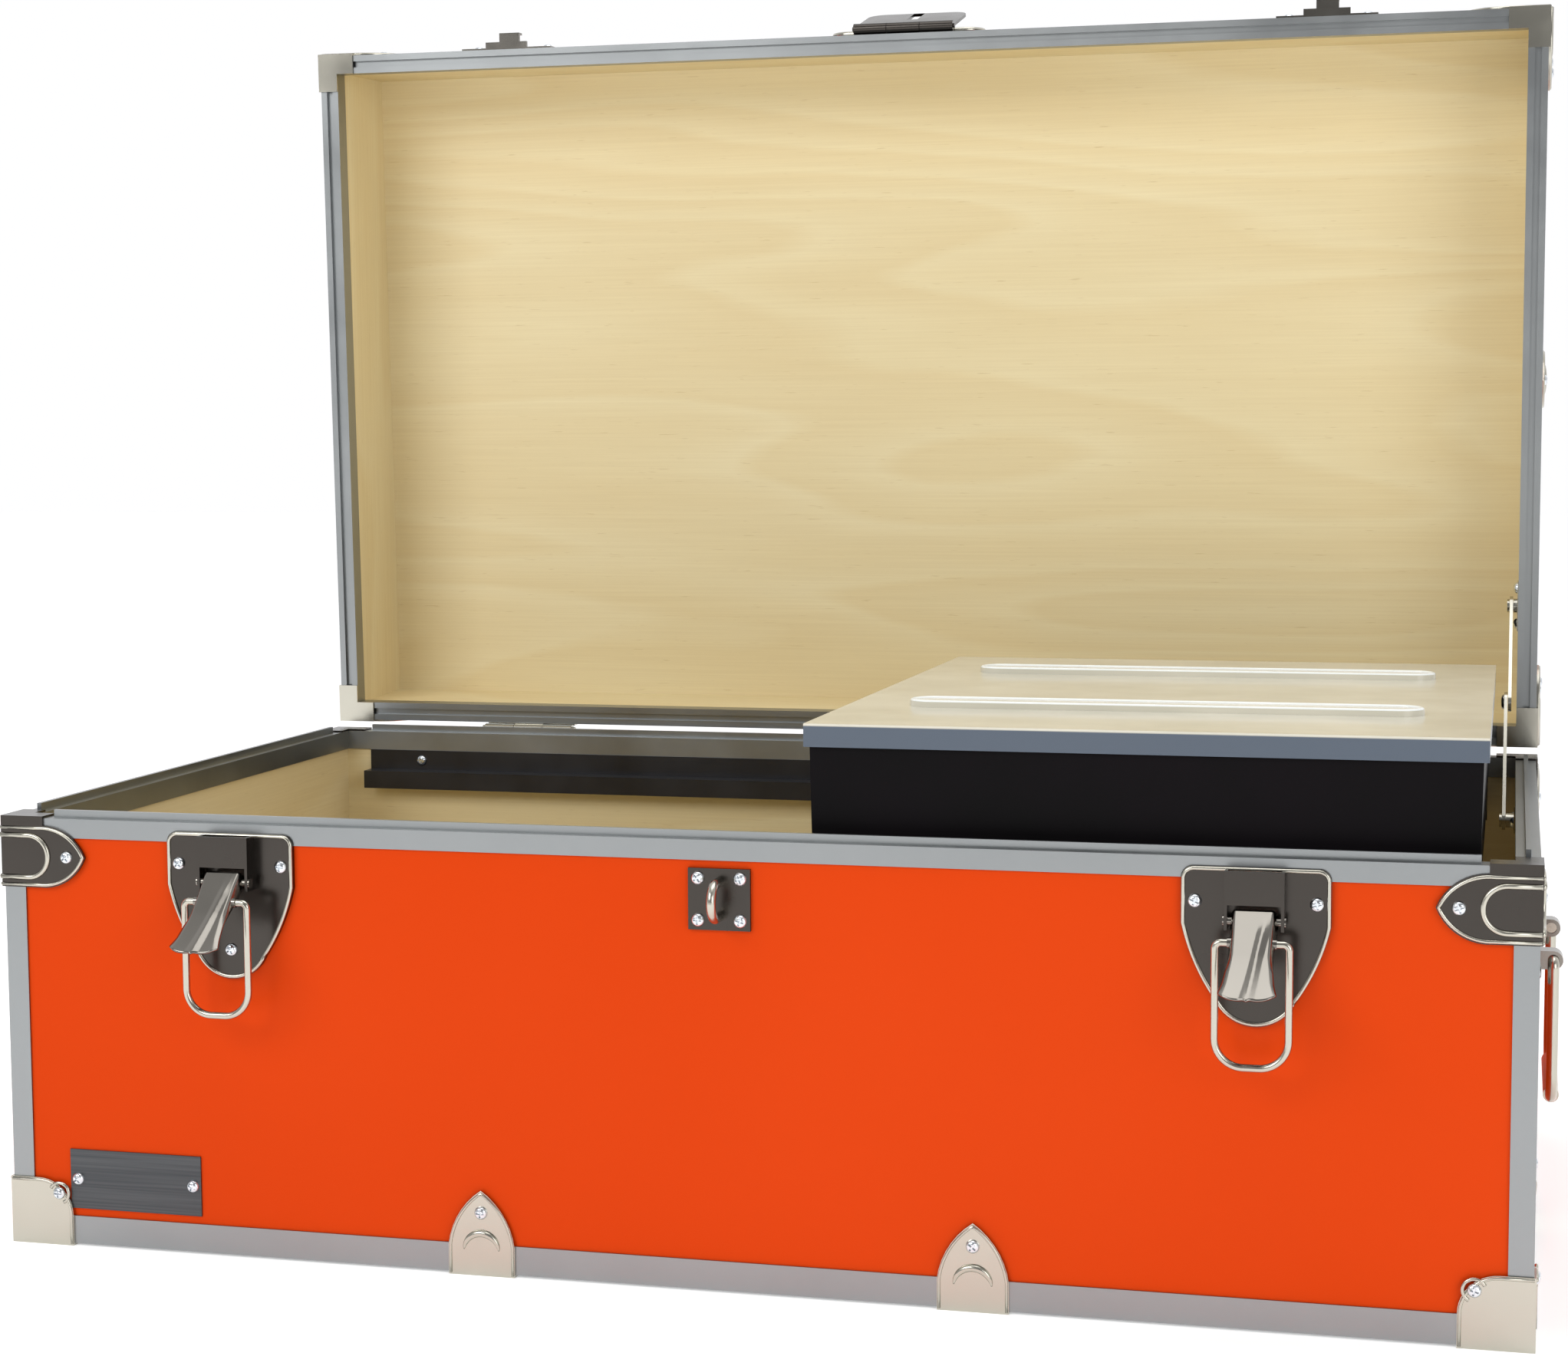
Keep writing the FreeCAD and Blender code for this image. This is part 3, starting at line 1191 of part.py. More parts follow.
doc.recompute()
for obj in doc.Objects:
    bad = [state for state in obj.State if state in ("Invalid", "Error")]
    if bad:
        raise RuntimeError(f"{obj.Name} ({obj.TypeId}) is {bad}")
for label, obj in nodes.items():
    if obj.Shape.isNull() or not obj.Shape.isValid() or not obj.Shape.Solids:
        raise RuntimeError(f"{label} has no valid solid")

os.makedirs("parts", exist_ok=True)
for label, obj in nodes.items():
    obj.Shape.exportStep(f"parts/{label}.step")
print(f"{len(nodes)} nodes, {sum(len(obj.Shape.Solids) for obj in nodes.values())} solids")
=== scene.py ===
# %% [markdown]
# # A plywood footlocker
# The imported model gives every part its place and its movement. This lesson gives the parts their
# looks: first a small language for materials, then one finish at a time, then the pressed and
# folded metal details that plain solids lack, and last the light and the camera.

# %% Load the fixed frame
import json
import math

import bpy
import numpy as np
from mathutils import Matrix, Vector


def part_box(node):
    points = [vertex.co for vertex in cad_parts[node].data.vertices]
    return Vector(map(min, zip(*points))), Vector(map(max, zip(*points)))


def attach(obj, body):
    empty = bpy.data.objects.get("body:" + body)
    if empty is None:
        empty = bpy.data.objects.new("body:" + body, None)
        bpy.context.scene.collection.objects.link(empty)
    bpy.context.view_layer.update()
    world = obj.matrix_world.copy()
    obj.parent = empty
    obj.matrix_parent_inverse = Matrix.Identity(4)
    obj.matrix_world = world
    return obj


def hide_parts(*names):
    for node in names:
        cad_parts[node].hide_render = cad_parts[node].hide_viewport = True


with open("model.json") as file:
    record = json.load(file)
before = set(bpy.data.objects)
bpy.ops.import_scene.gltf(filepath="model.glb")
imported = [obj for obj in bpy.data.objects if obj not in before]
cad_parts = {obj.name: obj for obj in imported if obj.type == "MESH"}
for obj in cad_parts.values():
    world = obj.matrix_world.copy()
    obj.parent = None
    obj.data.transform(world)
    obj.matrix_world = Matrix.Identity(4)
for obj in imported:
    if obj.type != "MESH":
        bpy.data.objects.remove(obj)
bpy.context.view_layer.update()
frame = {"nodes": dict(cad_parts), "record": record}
MM = 0.001

# %% [markdown]
# ## A small language for shader maths
# A finish is arithmetic on patterns. Placing Math nodes by hand hides that, so one class wraps a
# socket and lets `+` and `*` build the nodes.

# %% Sockets that can be added and multiplied
class Wire:
    """One output socket of a node. Arithmetic on it adds Math nodes to the same material."""

    def __init__(self, finish, socket):
        self.finish = finish
        self.socket = socket

    def __add__(self, other):
        return self.finish.maths("ADD", self, other)

    def __mul__(self, other):
        return self.finish.maths("MULTIPLY", self, other)


print("sockets can be added and multiplied")

# %% [markdown]
# ## A finish
# Any node comes from a single method that takes the node's type, its settings and its inputs. The
# shader's own constants are set straight on its sockets.

# %% One material as a graph
class Finish:
    """One material, built as a graph that ends in a Principled shader."""

    def __init__(self, name, **constants):
        self.material = bpy.data.materials.new(name)
        self.material.use_nodes = True
        self.tree = self.material.node_tree
        self.shader = self.tree.nodes["Principled BSDF"]
        for socket, value in constants.items():
            self.shader.inputs[socket.replace("_", " ")].default_value = value
        self.place = self.node("ShaderNodeTexCoord", out="Object")

    def node(self, kind, inputs=None, out=0, stops=None, **settings):
        """Any node: its type, its settings first, then a colour ramp's stops, then its inputs."""
        made = self.tree.nodes.new(kind)
        for setting, value in settings.items():
            setattr(made, setting, value)
        if stops:
            ramp = made.color_ramp
            while len(ramp.elements) < len(stops):
                ramp.elements.new(0.5)
            for element, (where, colour) in zip(ramp.elements, stops):
                element.position = where
                element.color = (*colour, 1.0)
        for socket, value in (inputs or {}).items():
            self.feed(made.inputs[socket], value)
        return Wire(self, made.outputs[out])

    def feed(self, socket, value):
        if isinstance(value, Wire):
            self.tree.links.new(value.socket, socket)
        else:
            socket.default_value = value

    def maths(self, operation, first, second):
        return self.node("ShaderNodeMath", {0: first, 1: second}, operation=operation)

    def noise(self, stretch, detail=3.0, rough=0.5, shift=(0.0, 0.0, 0.0)):
        """Fractal noise, with a number of features per metre along each axis."""
        spot = self.node("ShaderNodeMapping", {"Vector": self.place, "Scale": stretch,
                                               "Location": shift})
        return self.node("ShaderNodeTexNoise", {"Vector": spot, "Scale": 1.0, "Detail": detail,
                                                "Roughness": rough}, out="Fac")

    def spread(self, wire, low, high):
        """Stretch the middle of a noise, 0.3 to 0.7, over low to high."""
        return self.node("ShaderNodeMapRange", {"Value": wire, 1: 0.3, 2: 0.7, 3: low, 4: high})

    def ramp(self, wire, stops):
        return self.node("ShaderNodeValToRGB", {"Fac": wire}, out="Color", stops=stops)

    def mix(self, amount, first, second, blend="MIX"):
        """Mix two colours: sockets 6 and 7 of a Mix node are its colours, 2 its colour output."""
        return self.node("ShaderNodeMix", {0: amount, 6: first, 7: second}, out=2,
                         data_type="RGBA", blend_type=blend)

    def bump(self, height, depth, strength=1.0):
        """Turn a height pattern into small relief, depth metres deep."""
        normal = self.node("ShaderNodeBump", {"Height": height, "Distance": depth,
                                              "Strength": strength}, out="Normal")
        self.feed(self.shader.inputs["Normal"], normal)
        return self

    def show(self, socket, value):
        self.feed(self.shader.inputs[socket], value)
        return self


print("the material language is ready")

# %% [markdown]
# ## Orange laminate
# A thin smooth skin bonded to the plywood. Its colour is nearly even. What makes it read as
# laminate is a soft sheen that wanders slightly, over a very fine orange-peel relief.

# %% Laminate
laminate = Finish("orange_laminate", IOR=1.13, Coat_Roughness=0.25)
cloud = laminate.noise((3.0, 3.0, 3.0), 2.0)
laminate.show("Base Color", laminate.ramp(cloud, [(0.25, (0.60, 0.046, 0.0022)),
                                                  (0.75, (0.65, 0.052, 0.0030))]))
laminate.show("Roughness", laminate.spread(laminate.noise((9.0, 9.0, 9.0)), 0.34, 0.44))
laminate.show("Coat Weight", laminate.spread(cloud, 0.0, 0.03))
laminate.bump(laminate.noise((900.0, 900.0, 900.0), 2.0), 0.00002)
print("laminate mixed")

# %% [markdown]
# ## Birch plywood
# Rotary-cut birch shows wide, wandering rings where the knife met the tree's growth. They are the
# contour lines of a smooth field stretched along the grain, so a noise multiplied up and wrapped
# gives them directly. Fine fibres and short dark flecks lie over the rings.

# %% Plywood, with its grain along a chosen axis
PALE = (0.80, 0.69, 0.42)
MEDIUM = (0.74, 0.61, 0.345)
DARK = (0.56, 0.42, 0.20)


def plywood(name, along, shift, warmth=0.0, rings=19.0):
    """Grain runs along one axis, 0 to 2. Rings are a smooth field times their number, wrapped."""
    def stretch(long_way, cross_way):
        return tuple(long_way if axis == along else cross_way for axis in range(3))

    wood = Finish(name, IOR=1.45, Coat_Roughness=0.35)
    field = wood.noise(stretch(0.9, 5.5), 2.2, 0.45, shift)
    drift = wood.noise(stretch(5.0, 22.0), 3.0, 0.5, shift)
    contour = field * rings + drift * 0.9
    wave = wood.node("ShaderNodeMath", {0: contour, 1: 1.0}, operation="FRACT")
    ring = wood.ramp(wave, [(0.0, (0.35,) * 3), (0.45, (0.55,) * 3), (0.8, (0.8,) * 3),
                            (1.0, (0.35,) * 3)])
    body = wood.ramp(wood.noise(stretch(1.5, 5.0), 3.0, 0.55, shift),
                     [(0.25, PALE), (0.75, MEDIUM)])
    stained = wood.mix(0.16, body, ring, "OVERLAY")
    fibre = wood.noise(stretch(9.0, 700.0), 4.0, 0.6, shift)
    threaded = wood.mix(wood.spread(fibre, 0.0, 0.20), stained, (*DARK, 1.0))
    fleck = wood.noise(stretch(60.0, 900.0), 2.0, 0.5, shift)
    specks = wood.node("ShaderNodeMapRange", {"Value": fleck, 1: 0.68, 2: 0.76, 3: 0.0, 4: 0.5})
    flecked = wood.mix(specks, threaded, (*DARK, 1.0))
    warmed = wood.mix(warmth, flecked, (0.66, 0.37, 0.16, 1.0), "MULTIPLY")
    wood.show("Base Color", warmed)
    wood.show("Roughness", wood.spread(fibre, 0.42, 0.56))
    wood.show("Coat Weight", wood.spread(body_sheen(wood, stretch, shift), 0.10, 0.22))
    return wood.bump(fibre, 0.00005)


def body_sheen(wood, stretch, shift):
    """Sealer soaks in unevenly, so its gloss drifts slowly along the grain."""
    return wood.noise(stretch(2.5, 8.0), 2.0, 0.5, shift)


along_length = plywood("plywood", 0, (0.30, 0.0, 2.1))
along_depth = plywood("plywood_end", 1, (4.0, 1.0, 0.0), 0.10)
along_height = plywood("plywood_side", 2, (7.0, 0.0, 3.0), 0.02)
print("three boards sawn")

# %% [markdown]
# ## Metals
# Satin extruded aluminium, nickel plate over pressed steel and bright zinc differ in roughness and
# tint. Flat polished plates mirror a dim room and look dark, while rounded pressings catch light,
# so the one plated steel gets three tints: a dark painted shade on flat plates, its own tint, and a
# pale painted highlight on pressings and round fittings. Each metal's roughness drifts, as handling
# leaves it.

# %% Aluminium, nickel and zinc
def metal(name, tint, dull, bright, grain, depth):
    """A metal whose roughness drifts from bright to dull, with a fine relief of its own grain."""
    made = Finish(name, Metallic=1.0)
    wear = made.noise((14.0, 14.0, 14.0), 4.0, 0.6)
    shade = tuple(0.90 * part for part in tint)
    made.show("Base Color", made.ramp(wear, [(0.3, shade), (0.7, tint)]))
    made.show("Roughness", made.spread(wear, bright, dull))
    return made.bump(made.noise(grain, 3.0), depth)


aluminium = metal("aluminium_edging", (0.33, 0.345, 0.35), 0.40, 0.30, (700.0,) * 3, 0.000015)
steel = metal("plated_steel", (0.25, 0.235, 0.21), 0.25, 0.15, (120.0,) * 3, 0.00004)
# Dark tint: painted shade on flat plates, standing in for the dim room they mirror.
painted_shade_steel = metal("painted_shade_plated_steel", (0.066, 0.059, 0.053), 0.30, 0.18, (90.0,) * 3, 0.00004)
# Pale tint: painted highlight on pressings and round fittings that catch light.
painted_highlight_steel = metal("painted_highlight_plated_steel", (0.52, 0.50, 0.43), 0.28, 0.18, (120.0,) * 3, 0.00004)
zinc = metal("zinc_screws", (0.74, 0.78, 0.82), 0.30, 0.20, (500.0,) * 3, 0.00002)
print("five metals poured")

# %% [markdown]
# ## Plastics and the blank plate
# The rails are moulded in black with a fine spark-eroded texture, and the tray in a deeper, flatter
# black. The tray's lid is a pale sheet over a skirt given a dark blue painted shade, told apart by
# height alone.

# %% Black plastic, milky plastic, blank plate
SKIRT_TOP, SHEET_LOW = 0.2945, 0.2952
# Dark blue painted shade for the skirt of the tray's lid, below the pale sheet.
SKIRT_PAINTED_SHADE = (0.070, 0.092, 0.125, 1.0)

black = Finish("black_plastic", IOR=1.5)
mottle = black.noise((30.0, 30.0, 30.0))
black.show("Base Color", black.ramp(mottle, [(0.3, (0.006, 0.006, 0.008)),
                                             (0.7, (0.011, 0.011, 0.014))]))
black.show("Roughness", black.spread(mottle, 0.28, 0.40))
black.bump(black.noise((1500.0, 1500.0, 1500.0), 2.0), 0.00002)

tray_black = Finish("tray_black", IOR=1.15, Coat_Roughness=0.2)
smudge = tray_black.noise((11.0, 11.0, 11.0))
tray_black.show("Base Color", tray_black.ramp(smudge, [(0.3, (0.0035,) * 3),
                                                       (0.7, (0.0060, 0.0045, 0.0058))]))
tray_black.show("Roughness", tray_black.spread(smudge, 0.40, 0.52))
tray_black.bump(tray_black.noise((1200.0, 1200.0, 1200.0), 2.0), 0.00002)

milky = Finish("milky_plastic", IOR=1.49, Coat_Roughness=0.08)
haze = milky.noise((12.0, 12.0, 12.0))
top_sheet = milky.ramp(haze, [(0.3, (0.58, 0.56, 0.47)), (0.7, (0.68, 0.65, 0.55))])
height = milky.node("ShaderNodeSeparateXYZ", {0: milky.place}, out="Z")
level = milky.node("ShaderNodeMapRange", {"Value": height, 1: SKIRT_TOP, 2: SHEET_LOW,
                                          3: 0.0, 4: 1.0})
# Below the sheet's height the colour is the skirt's painted shade.
milky.show("Base Color", milky.mix(level, SKIRT_PAINTED_SHADE, top_sheet))
milky.show("Roughness", milky.spread(haze, 0.16, 0.24))
milky.show("Coat Weight", milky.spread(haze, 0.10, 0.2))
milky.bump(milky.noise((60.0, 60.0, 60.0), 2.0), 0.00003)

# Near-white painted highlight for the bead round each rib.
rib_highlight = Finish("painted_highlight_rib_edge", IOR=1.49)
cloudy = rib_highlight.noise((20.0, 20.0, 20.0))
rib_highlight.show("Base Color", rib_highlight.ramp(cloudy, [(0.3, (0.80, 0.82, 0.80)),
                                                     (0.7, (0.88, 0.90, 0.88))]))
rib_highlight.show("Roughness", rib_highlight.spread(cloudy, 0.2, 0.3))

plate = Finish("plain_plate", Metallic=0.8)
brush = plate.noise((8.0, 300.0, 900.0), 3.0)
plate.show("Base Color", plate.ramp(brush, [(0.3, (0.06, 0.065, 0.07)),
                                            (0.7, (0.10, 0.105, 0.11))]))
plate.show("Roughness", plate.spread(brush, 0.34, 0.46))
plate.bump(brush, 0.00002)
print("plastics and the plate ready")

# %% [markdown]
# ## Give each solid its finish
# The record already says which slot each part belongs to, so the finishes are handed out by slot.
# Boards differ only in the way their grain runs; steel parts picked by name get painted shade or a
# painted highlight as their tint.

# %% Hand out the finishes
FINISHES = {"plywood": along_length, "orange_laminate": laminate, "aluminium_edging": aluminium,
            "plated_steel": steel, "zinc_screws": zinc, "black_plastic": black,
            "milky_plastic": milky, "plain_plate": plate}
GRAIN = {"base_left_panel": along_depth, "base_right_panel": along_depth,
         "lid_left_panel": along_height, "lid_right_panel": along_height}
# Parts whose steel gets the pale tint, which is a painted highlight.
PAINTED_HIGHLIGHT_PARTS = ("base_bottom_corners", "lid_top_corners", "base_edge_clamps", "lid_edge_clamps", "loop",
          "handle_bail", "handle_grip", "hinge_", "stay_", "staple_eye", "lid_rim_corners")
# Parts whose steel gets the dark tint, which is painted shade.
PAINTED_SHADE_PARTS = ("latch_plate", "base_rim_corners", "staple_plate", "hasp_")
slot_of = {part["node"]: part["material_slot"] for part in frame["record"]["subparts"]}
for name, solid in frame["nodes"].items():
    chosen = GRAIN.get(name, FINISHES[slot_of[name]])
    if chosen is steel and any(word in name for word in PAINTED_HIGHLIGHT_PARTS):
        chosen = painted_highlight_steel
    if chosen is steel and any(word in name for word in PAINTED_SHADE_PARTS):
        chosen = painted_shade_steel
    if name == "tray_body":
        chosen = tray_black
    for index in range(len(solid.data.materials)):
        solid.data.materials[index] = chosen.material
print("finishes given to", len(slot_of), "solids")

# %% [markdown]
# ## Building surfaces from numbers
# A pressed sheet is a function of two parameters. The whole grid of points is worked out at once,
# and the faces between neighbours follow from the grid's own numbering.

# %% From a grid of points to a piece
def grid_faces(rows, columns, around=False, along=False):
    """Quads between neighbours of a grid. It may wrap around its columns, and along its rows."""
    row, column = np.meshgrid(np.arange(rows - (not along)), np.arange(columns - (not around)),
                              indexing="ij")
    after, beside = (row + 1) % rows, (column + 1) % columns
    corners = [row * columns + column, row * columns + beside,
               after * columns + beside, after * columns + column]
    return np.stack(corners, -1).reshape(-1, 4).tolist()


def ring_faces(rows, sides, closed=False):
    """Quads around a stack of rings. An open stack gets a flat face at each end."""
    quads = grid_faces(rows, sides, True, closed)
    last = (rows - 1) * sides
    return quads if closed else quads + [list(range(sides))[::-1], list(range(last, last + sides))]


def piece(name, points, faces, body, slot, finish, thickness=0.0):
    """Make one object from points in metres, give it a finish, and let it ride on a body."""
    mesh = bpy.data.meshes.new(name)
    mesh.from_pydata(points.reshape(-1, 3).tolist(), [], faces)
    mesh.polygons.foreach_set("use_smooth", np.ones(len(mesh.polygons), bool))
    mesh.update()
    made = bpy.data.objects.new(name, mesh)
    bpy.context.scene.collection.objects.link(made)
    mesh.materials.append(finish.material)
    if thickness:
        wall = made.modifiers.new("wall", "SOLIDIFY")
        wall.thickness = thickness
        wall.offset = 0.0
    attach(made, body)
    return made


print("surfaces are ready")

# %% [markdown]
# ## Tubes
# A bead is a slim tube. Its path lies in a plane, so the plane's normal is one of the two
# directions that every ring needs, and the rings can't twist.

# %% Tubes along a flat path
def tube(path, normal, radius, closed, sides=10):
    """Rings around a flat path: the cosine goes along the plane's normal, the sine across it."""
    ahead = np.roll(path, -1, 0) - np.roll(path, 1, 0) if closed else np.gradient(path, axis=0)
    ahead = ahead / np.linalg.norm(ahead, axis=1, keepdims=True)
    across = np.cross(ahead, normal)
    angle = np.linspace(0, 2 * math.pi, sides, endpoint=False)[None, :, None]
    size = np.broadcast_to(np.asarray(radius, float), (len(path),))[:, None, None]
    ring = np.cos(angle) * np.asarray(normal) + np.sin(angle) * across[:, None]
    return path[:, None] + ring * size, ring_faces(len(path), sides, closed)


def joined(tubes):
    """Many tubes as one set of points and faces: each tube's numbering follows the one before."""
    points, faces, start = [], [], 0
    for grid, polygons in tubes:
        points.append(grid.reshape(-1, 3))
        faces += [[corner + start for corner in polygon] for polygon in polygons]
        start += len(points[-1])
    return np.concatenate(points), faces


print("tubes are ready")

# %% [markdown]
# ## Drawing on the sides of the box
# Every pressed detail is drawn flat, in millimetres along a side and up it. A side is a direction
# along, an outward direction and a distance. The lid's details are drawn on the shut lid, upside
# down, and turned open about the hinge.

# %% The four sides, and the open lid
SIDES = {"front": ((1, 0, 0), (0, -1, 0), 230.2), "right": ((0, 1, 0), (1, 0, 0), 407.7),
         "back": ((-1, 0, 0), (0, 1, 0), 230.2), "left": ((0, -1, 0), (-1, 0, 0), 407.7)}
CORNER = {"front": 407.7, "back": 407.7, "right": 230.2, "left": 230.2}
UP = np.array([0.0, 0.0, 1.0])
HINGE = np.array([0.0, 233.6, 238.5])
OPEN = math.radians(-88)
LID_TURN = np.array([[1, 0, 0], [0, math.cos(OPEN), -math.sin(OPEN)],
                     [0, math.sin(OPEN), math.cos(OPEN)]])
RIM_MIRROR, TOP_MIRROR = 477.0, 333.7


def bead(side, flat, radius, mirror=None, lift=0.0, closed=False, thin=False):
    """A half-sunk bead along a flat path. A thin one swells as the sine of its length."""
    along, out, distance = (np.array(part, float) for part in SIDES[side])
    height = flat[:, 1] if mirror is None else mirror - flat[:, 1]
    path = flat[:, :1] * along + (distance + lift) * out + height[:, None] * UP
    if mirror is not None:
        path, out = (path - HINGE) @ LID_TURN.T + HINGE, LID_TURN @ out
    share = np.linspace(0, 1, len(flat))
    size = radius * np.sqrt(np.clip(np.sin(math.pi * share), 0.03, 1)) if thin else radius
    return tube(path * MM, out, size * MM, closed)


def arc(start, through, end, count=16):
    """Points on the circle through three points. Its centre is as far from each of them."""
    start, through, end = (np.array(point, float) for point in (start, through, end))
    sides = 2 * np.array([through - start, end - start])
    centre = np.linalg.solve(sides, [through @ through - start @ start, end @ end - start @ start])
    first, middle, last = (math.atan2(*(point - centre)[::-1]) for point in (start, through, end))
    turn, half = (last - first) % (2 * math.pi), (middle - first) % (2 * math.pi)
    angle = first + np.linspace(0, turn if half < turn else turn - 2 * math.pi, count)
    return centre + np.linalg.norm(start - centre) * np.stack([np.cos(angle), np.sin(angle)], 1)


def line(*points):
    return np.array(points, float)


print("sides", list(SIDES))

# %% [markdown]
# ## Pressed beads on the corners, clamps and plates
# Thin steel is stiffened by pressing ridges into it. A bead runs just inside each edge. The rim's
# corners also carry a raised U, each clamp a louvre, and each lower corner an ear round its screw.
# A corner is drawn by its distance in from the box's own corner.

# %% Flat drawings
WING = np.concatenate([line((0.4, 200.4)), arc((22.6, 200.4), (42.1, 206.9), (48.8, 216)),
                       arc((48.8, 216), (42.1, 225.1), (22.6, 231.6)), line((0.4, 231.6))])
RAISED_U = np.concatenate([line((0.4, 204.5)), arc((16.5, 204.5), (28, 216), (16.5, 227.5), 24),
                           line((0.4, 227.5))])
CUP = np.concatenate([line((36, 1)), arc((36, 17.2), (30.5, 30.5), (17.2, 36)), line((1, 36))])
EAR = arc((31.8, 24.2), (33.2, 33.2), (24.2, 31.8), 24)
CLAMP = np.concatenate([line((-17.4, 1)), arc((-17.4, 16.1), (-11.1, 33.2), (0, 44.4)),
                        arc((0, 44.4), (11.1, 33.2), (17.4, 16.1)), line((17.4, 1))])
LOUVRE = arc((-9.8, 14), (0, 23), (9.8, 14), 28)
SHIELD = np.concatenate([arc((-30.5, 231.3), (-33.8, 229.8), (-35.3, 226.5), 6),
                         arc((-35.3, 204), (-29.2, 185.2), (-18.9, 166.8)),
                         arc((-18.9, 166.8), (0, 154.8), (18.9, 166.8), 20),
                         arc((18.9, 166.8), (29.2, 185.2), (35.3, 204)),
                         arc((35.3, 226.5), (33.8, 229.8), (30.5, 231.3), 6)])
STADIUM = np.concatenate([arc((-38.5, 200), (-49.5, 212), (-38.5, 224), 18),
                          arc((38.5, 224), (49.5, 212), (38.5, 200), 18)])
print("eight flat drawings:", sum(map(len, (WING, RAISED_U, CUP, EAR, CLAMP, LOUVRE, SHIELD,
                                           STADIUM))), "points")

# %% [markdown]
# ## Pressing them in
# The same drawings serve all four sides of the base and of the lid. One piece holds all the beads
# of a kind on a part. The hasp's plate has a rolled rim, drawn upside down as all the lid is.

# %% Press them into the sheet
CLAMP_SPREAD = 132
LATCH_SPREAD = 272


def from_corner(flat, corner, way):
    """Turn distances in from a corner into distances along the side. The way is -1 or 1."""
    return np.stack([way * (corner - flat[:, 0]), flat[:, 1]], 1)


for part, rim, top in (("base", None, None), ("lid", RIM_MIRROR, TOP_MIRROR)):
    rim_beads, cup_beads, clamp_beads = [], [], []
    for side, corner in CORNER.items():
        for way in (-1, 1):
            rim_beads += [bead(side, from_corner(WING, corner, way), 1.0, rim),
                          bead(side, from_corner(RAISED_U, corner, way), 1.5, rim)]
            cup_beads += [bead(side, from_corner(CUP, corner, way), 0.9, top),
                          bead(side, from_corner(EAR, corner, way), 1.0, top)]
        long_side = side in ("front", "back")
        for centre in ((-CLAMP_SPREAD, CLAMP_SPREAD) if long_side else (0,)):
            clamp_beads += [bead(side, CLAMP + (centre, 0), 0.8, top),
                            bead(side, LOUVRE + (centre, 0), 2.0, top, thin=True)]
    for kind, beads in (("rim", rim_beads), ("cup", cup_beads), ("clamp", clamp_beads)):
        points, faces = joined(beads)
        # Every bead gets the pale steel tint, a painted highlight.
        piece(f"{part}_{kind}_beads", points, faces, part, "plated_steel", painted_highlight_steel)
shields = joined([bead("front", SHIELD + (x, 0), 1.1, closed=True)
                  for x in (-LATCH_SPREAD, LATCH_SPREAD)])
# The latch plates' beads and the hasp's rolled rim get the painted highlight tint too.
piece("latch_plate_beads", *shields, "base", "plated_steel", painted_highlight_steel)
ring = bead("front", STADIUM, 1.7, RIM_MIRROR, 0.8, closed=True)
piece("hasp_plate_bead", *ring, "lid", "plated_steel", painted_highlight_steel)
print("beads pressed")

# %% [markdown]
# ## The ribs of the tray's lid
# Two long ribs stiffen the sheet. A white bead follows the round-ended outline of each, a painted
# highlight on the rib's edge.

# %% Rib edges
RIB_LEFT, RIB_RIGHT, RIB_SPREAD = 87, 334.5, 105.2
RIB_HALF, RIB_TOP = 11.6, 298.8
ribs = []
for y in (-RIB_SPREAD, RIB_SPREAD):
    near, far = y - RIB_HALF, y + RIB_HALF
    outline = np.concatenate([arc((RIB_LEFT, far), (RIB_LEFT - RIB_HALF, y), (RIB_LEFT, near)),
                              arc((RIB_RIGHT, near), (RIB_RIGHT + RIB_HALF, y),
                                  (RIB_RIGHT, far))])
    path = np.concatenate([outline, np.full((len(outline), 1), RIB_TOP)], 1) * MM
    ribs.append(tube(path, UP, 1.2 * MM, True))
piece("tray_rib_edges", *joined(ribs), "tray_cover", "milky_plastic", rib_highlight)
print(len(ribs), "ribs edged")

# %% [markdown]
# ## The latch levers
# A draw latch's lever is one folded strip: flanges that grip the pin at the top, a diagonal crease
# down its face, and a flared tip for the thumb. It is a grid over length and width.

# %% Levers
PIVOT_Y, PIVOT_Z = -237.2 * MM, 207 * MM
REST_TILT = math.radians(45)


def lever_surface(length=52 * MM, half_top=11.4 * MM, half_low=10.4 * MM):
    """Width narrows, then flares as a power of length. Depth is flanges that fade, a diagonal
    crease and a flared tip. The lower edge rises at its corners and dips to a point mid-way."""
    down, across = np.meshgrid(np.linspace(0, 1, 48), np.linspace(-1, 1, 41), indexing="ij")
    flare = np.clip((down - 0.5) / 0.5, 0, 1) ** 1.4
    half = half_top + (half_low - half_top) * np.clip(down / 0.5, 0, 1) ** 0.8 + flare * 3.4 * MM
    flange = np.clip((np.abs(across) - 0.80) / 0.20, 0, 1) ** 1.5
    fade = 1 - np.clip((down - 0.1) / 0.55, 0, 1) * 0.82
    crease = np.clip(1 - np.abs(across - 0.62 * (1 - down)) / 0.30, 0, 1) * np.clip(down * 4, 0, 1)
    x = half * across
    y = -5 * MM + flange * fade * 6.8 * MM - crease * 1.0 * MM - flare * 2.4 * MM
    edge = (4.2 * np.abs(across) ** 4 - 1.0 * np.clip(1 - np.abs(across) / 0.12, 0, 1)) * MM
    z = 3 * MM - down * (length + 2 * MM) + edge * np.clip((down - 0.8) / 0.2, 0, 1)
    return np.stack([x, y, z], -1)


def placed_lever(x):
    """Turn the lever out by its resting tilt about the pin, then move it to the pin."""
    local = lever_surface()
    c, s = math.cos(REST_TILT), math.sin(REST_TILT)
    y = local[..., 1] * c + local[..., 2] * s
    z = -local[..., 1] * s + local[..., 2] * c
    return np.stack([local[..., 0] + x, y + PIVOT_Y, z + PIVOT_Z], -1)


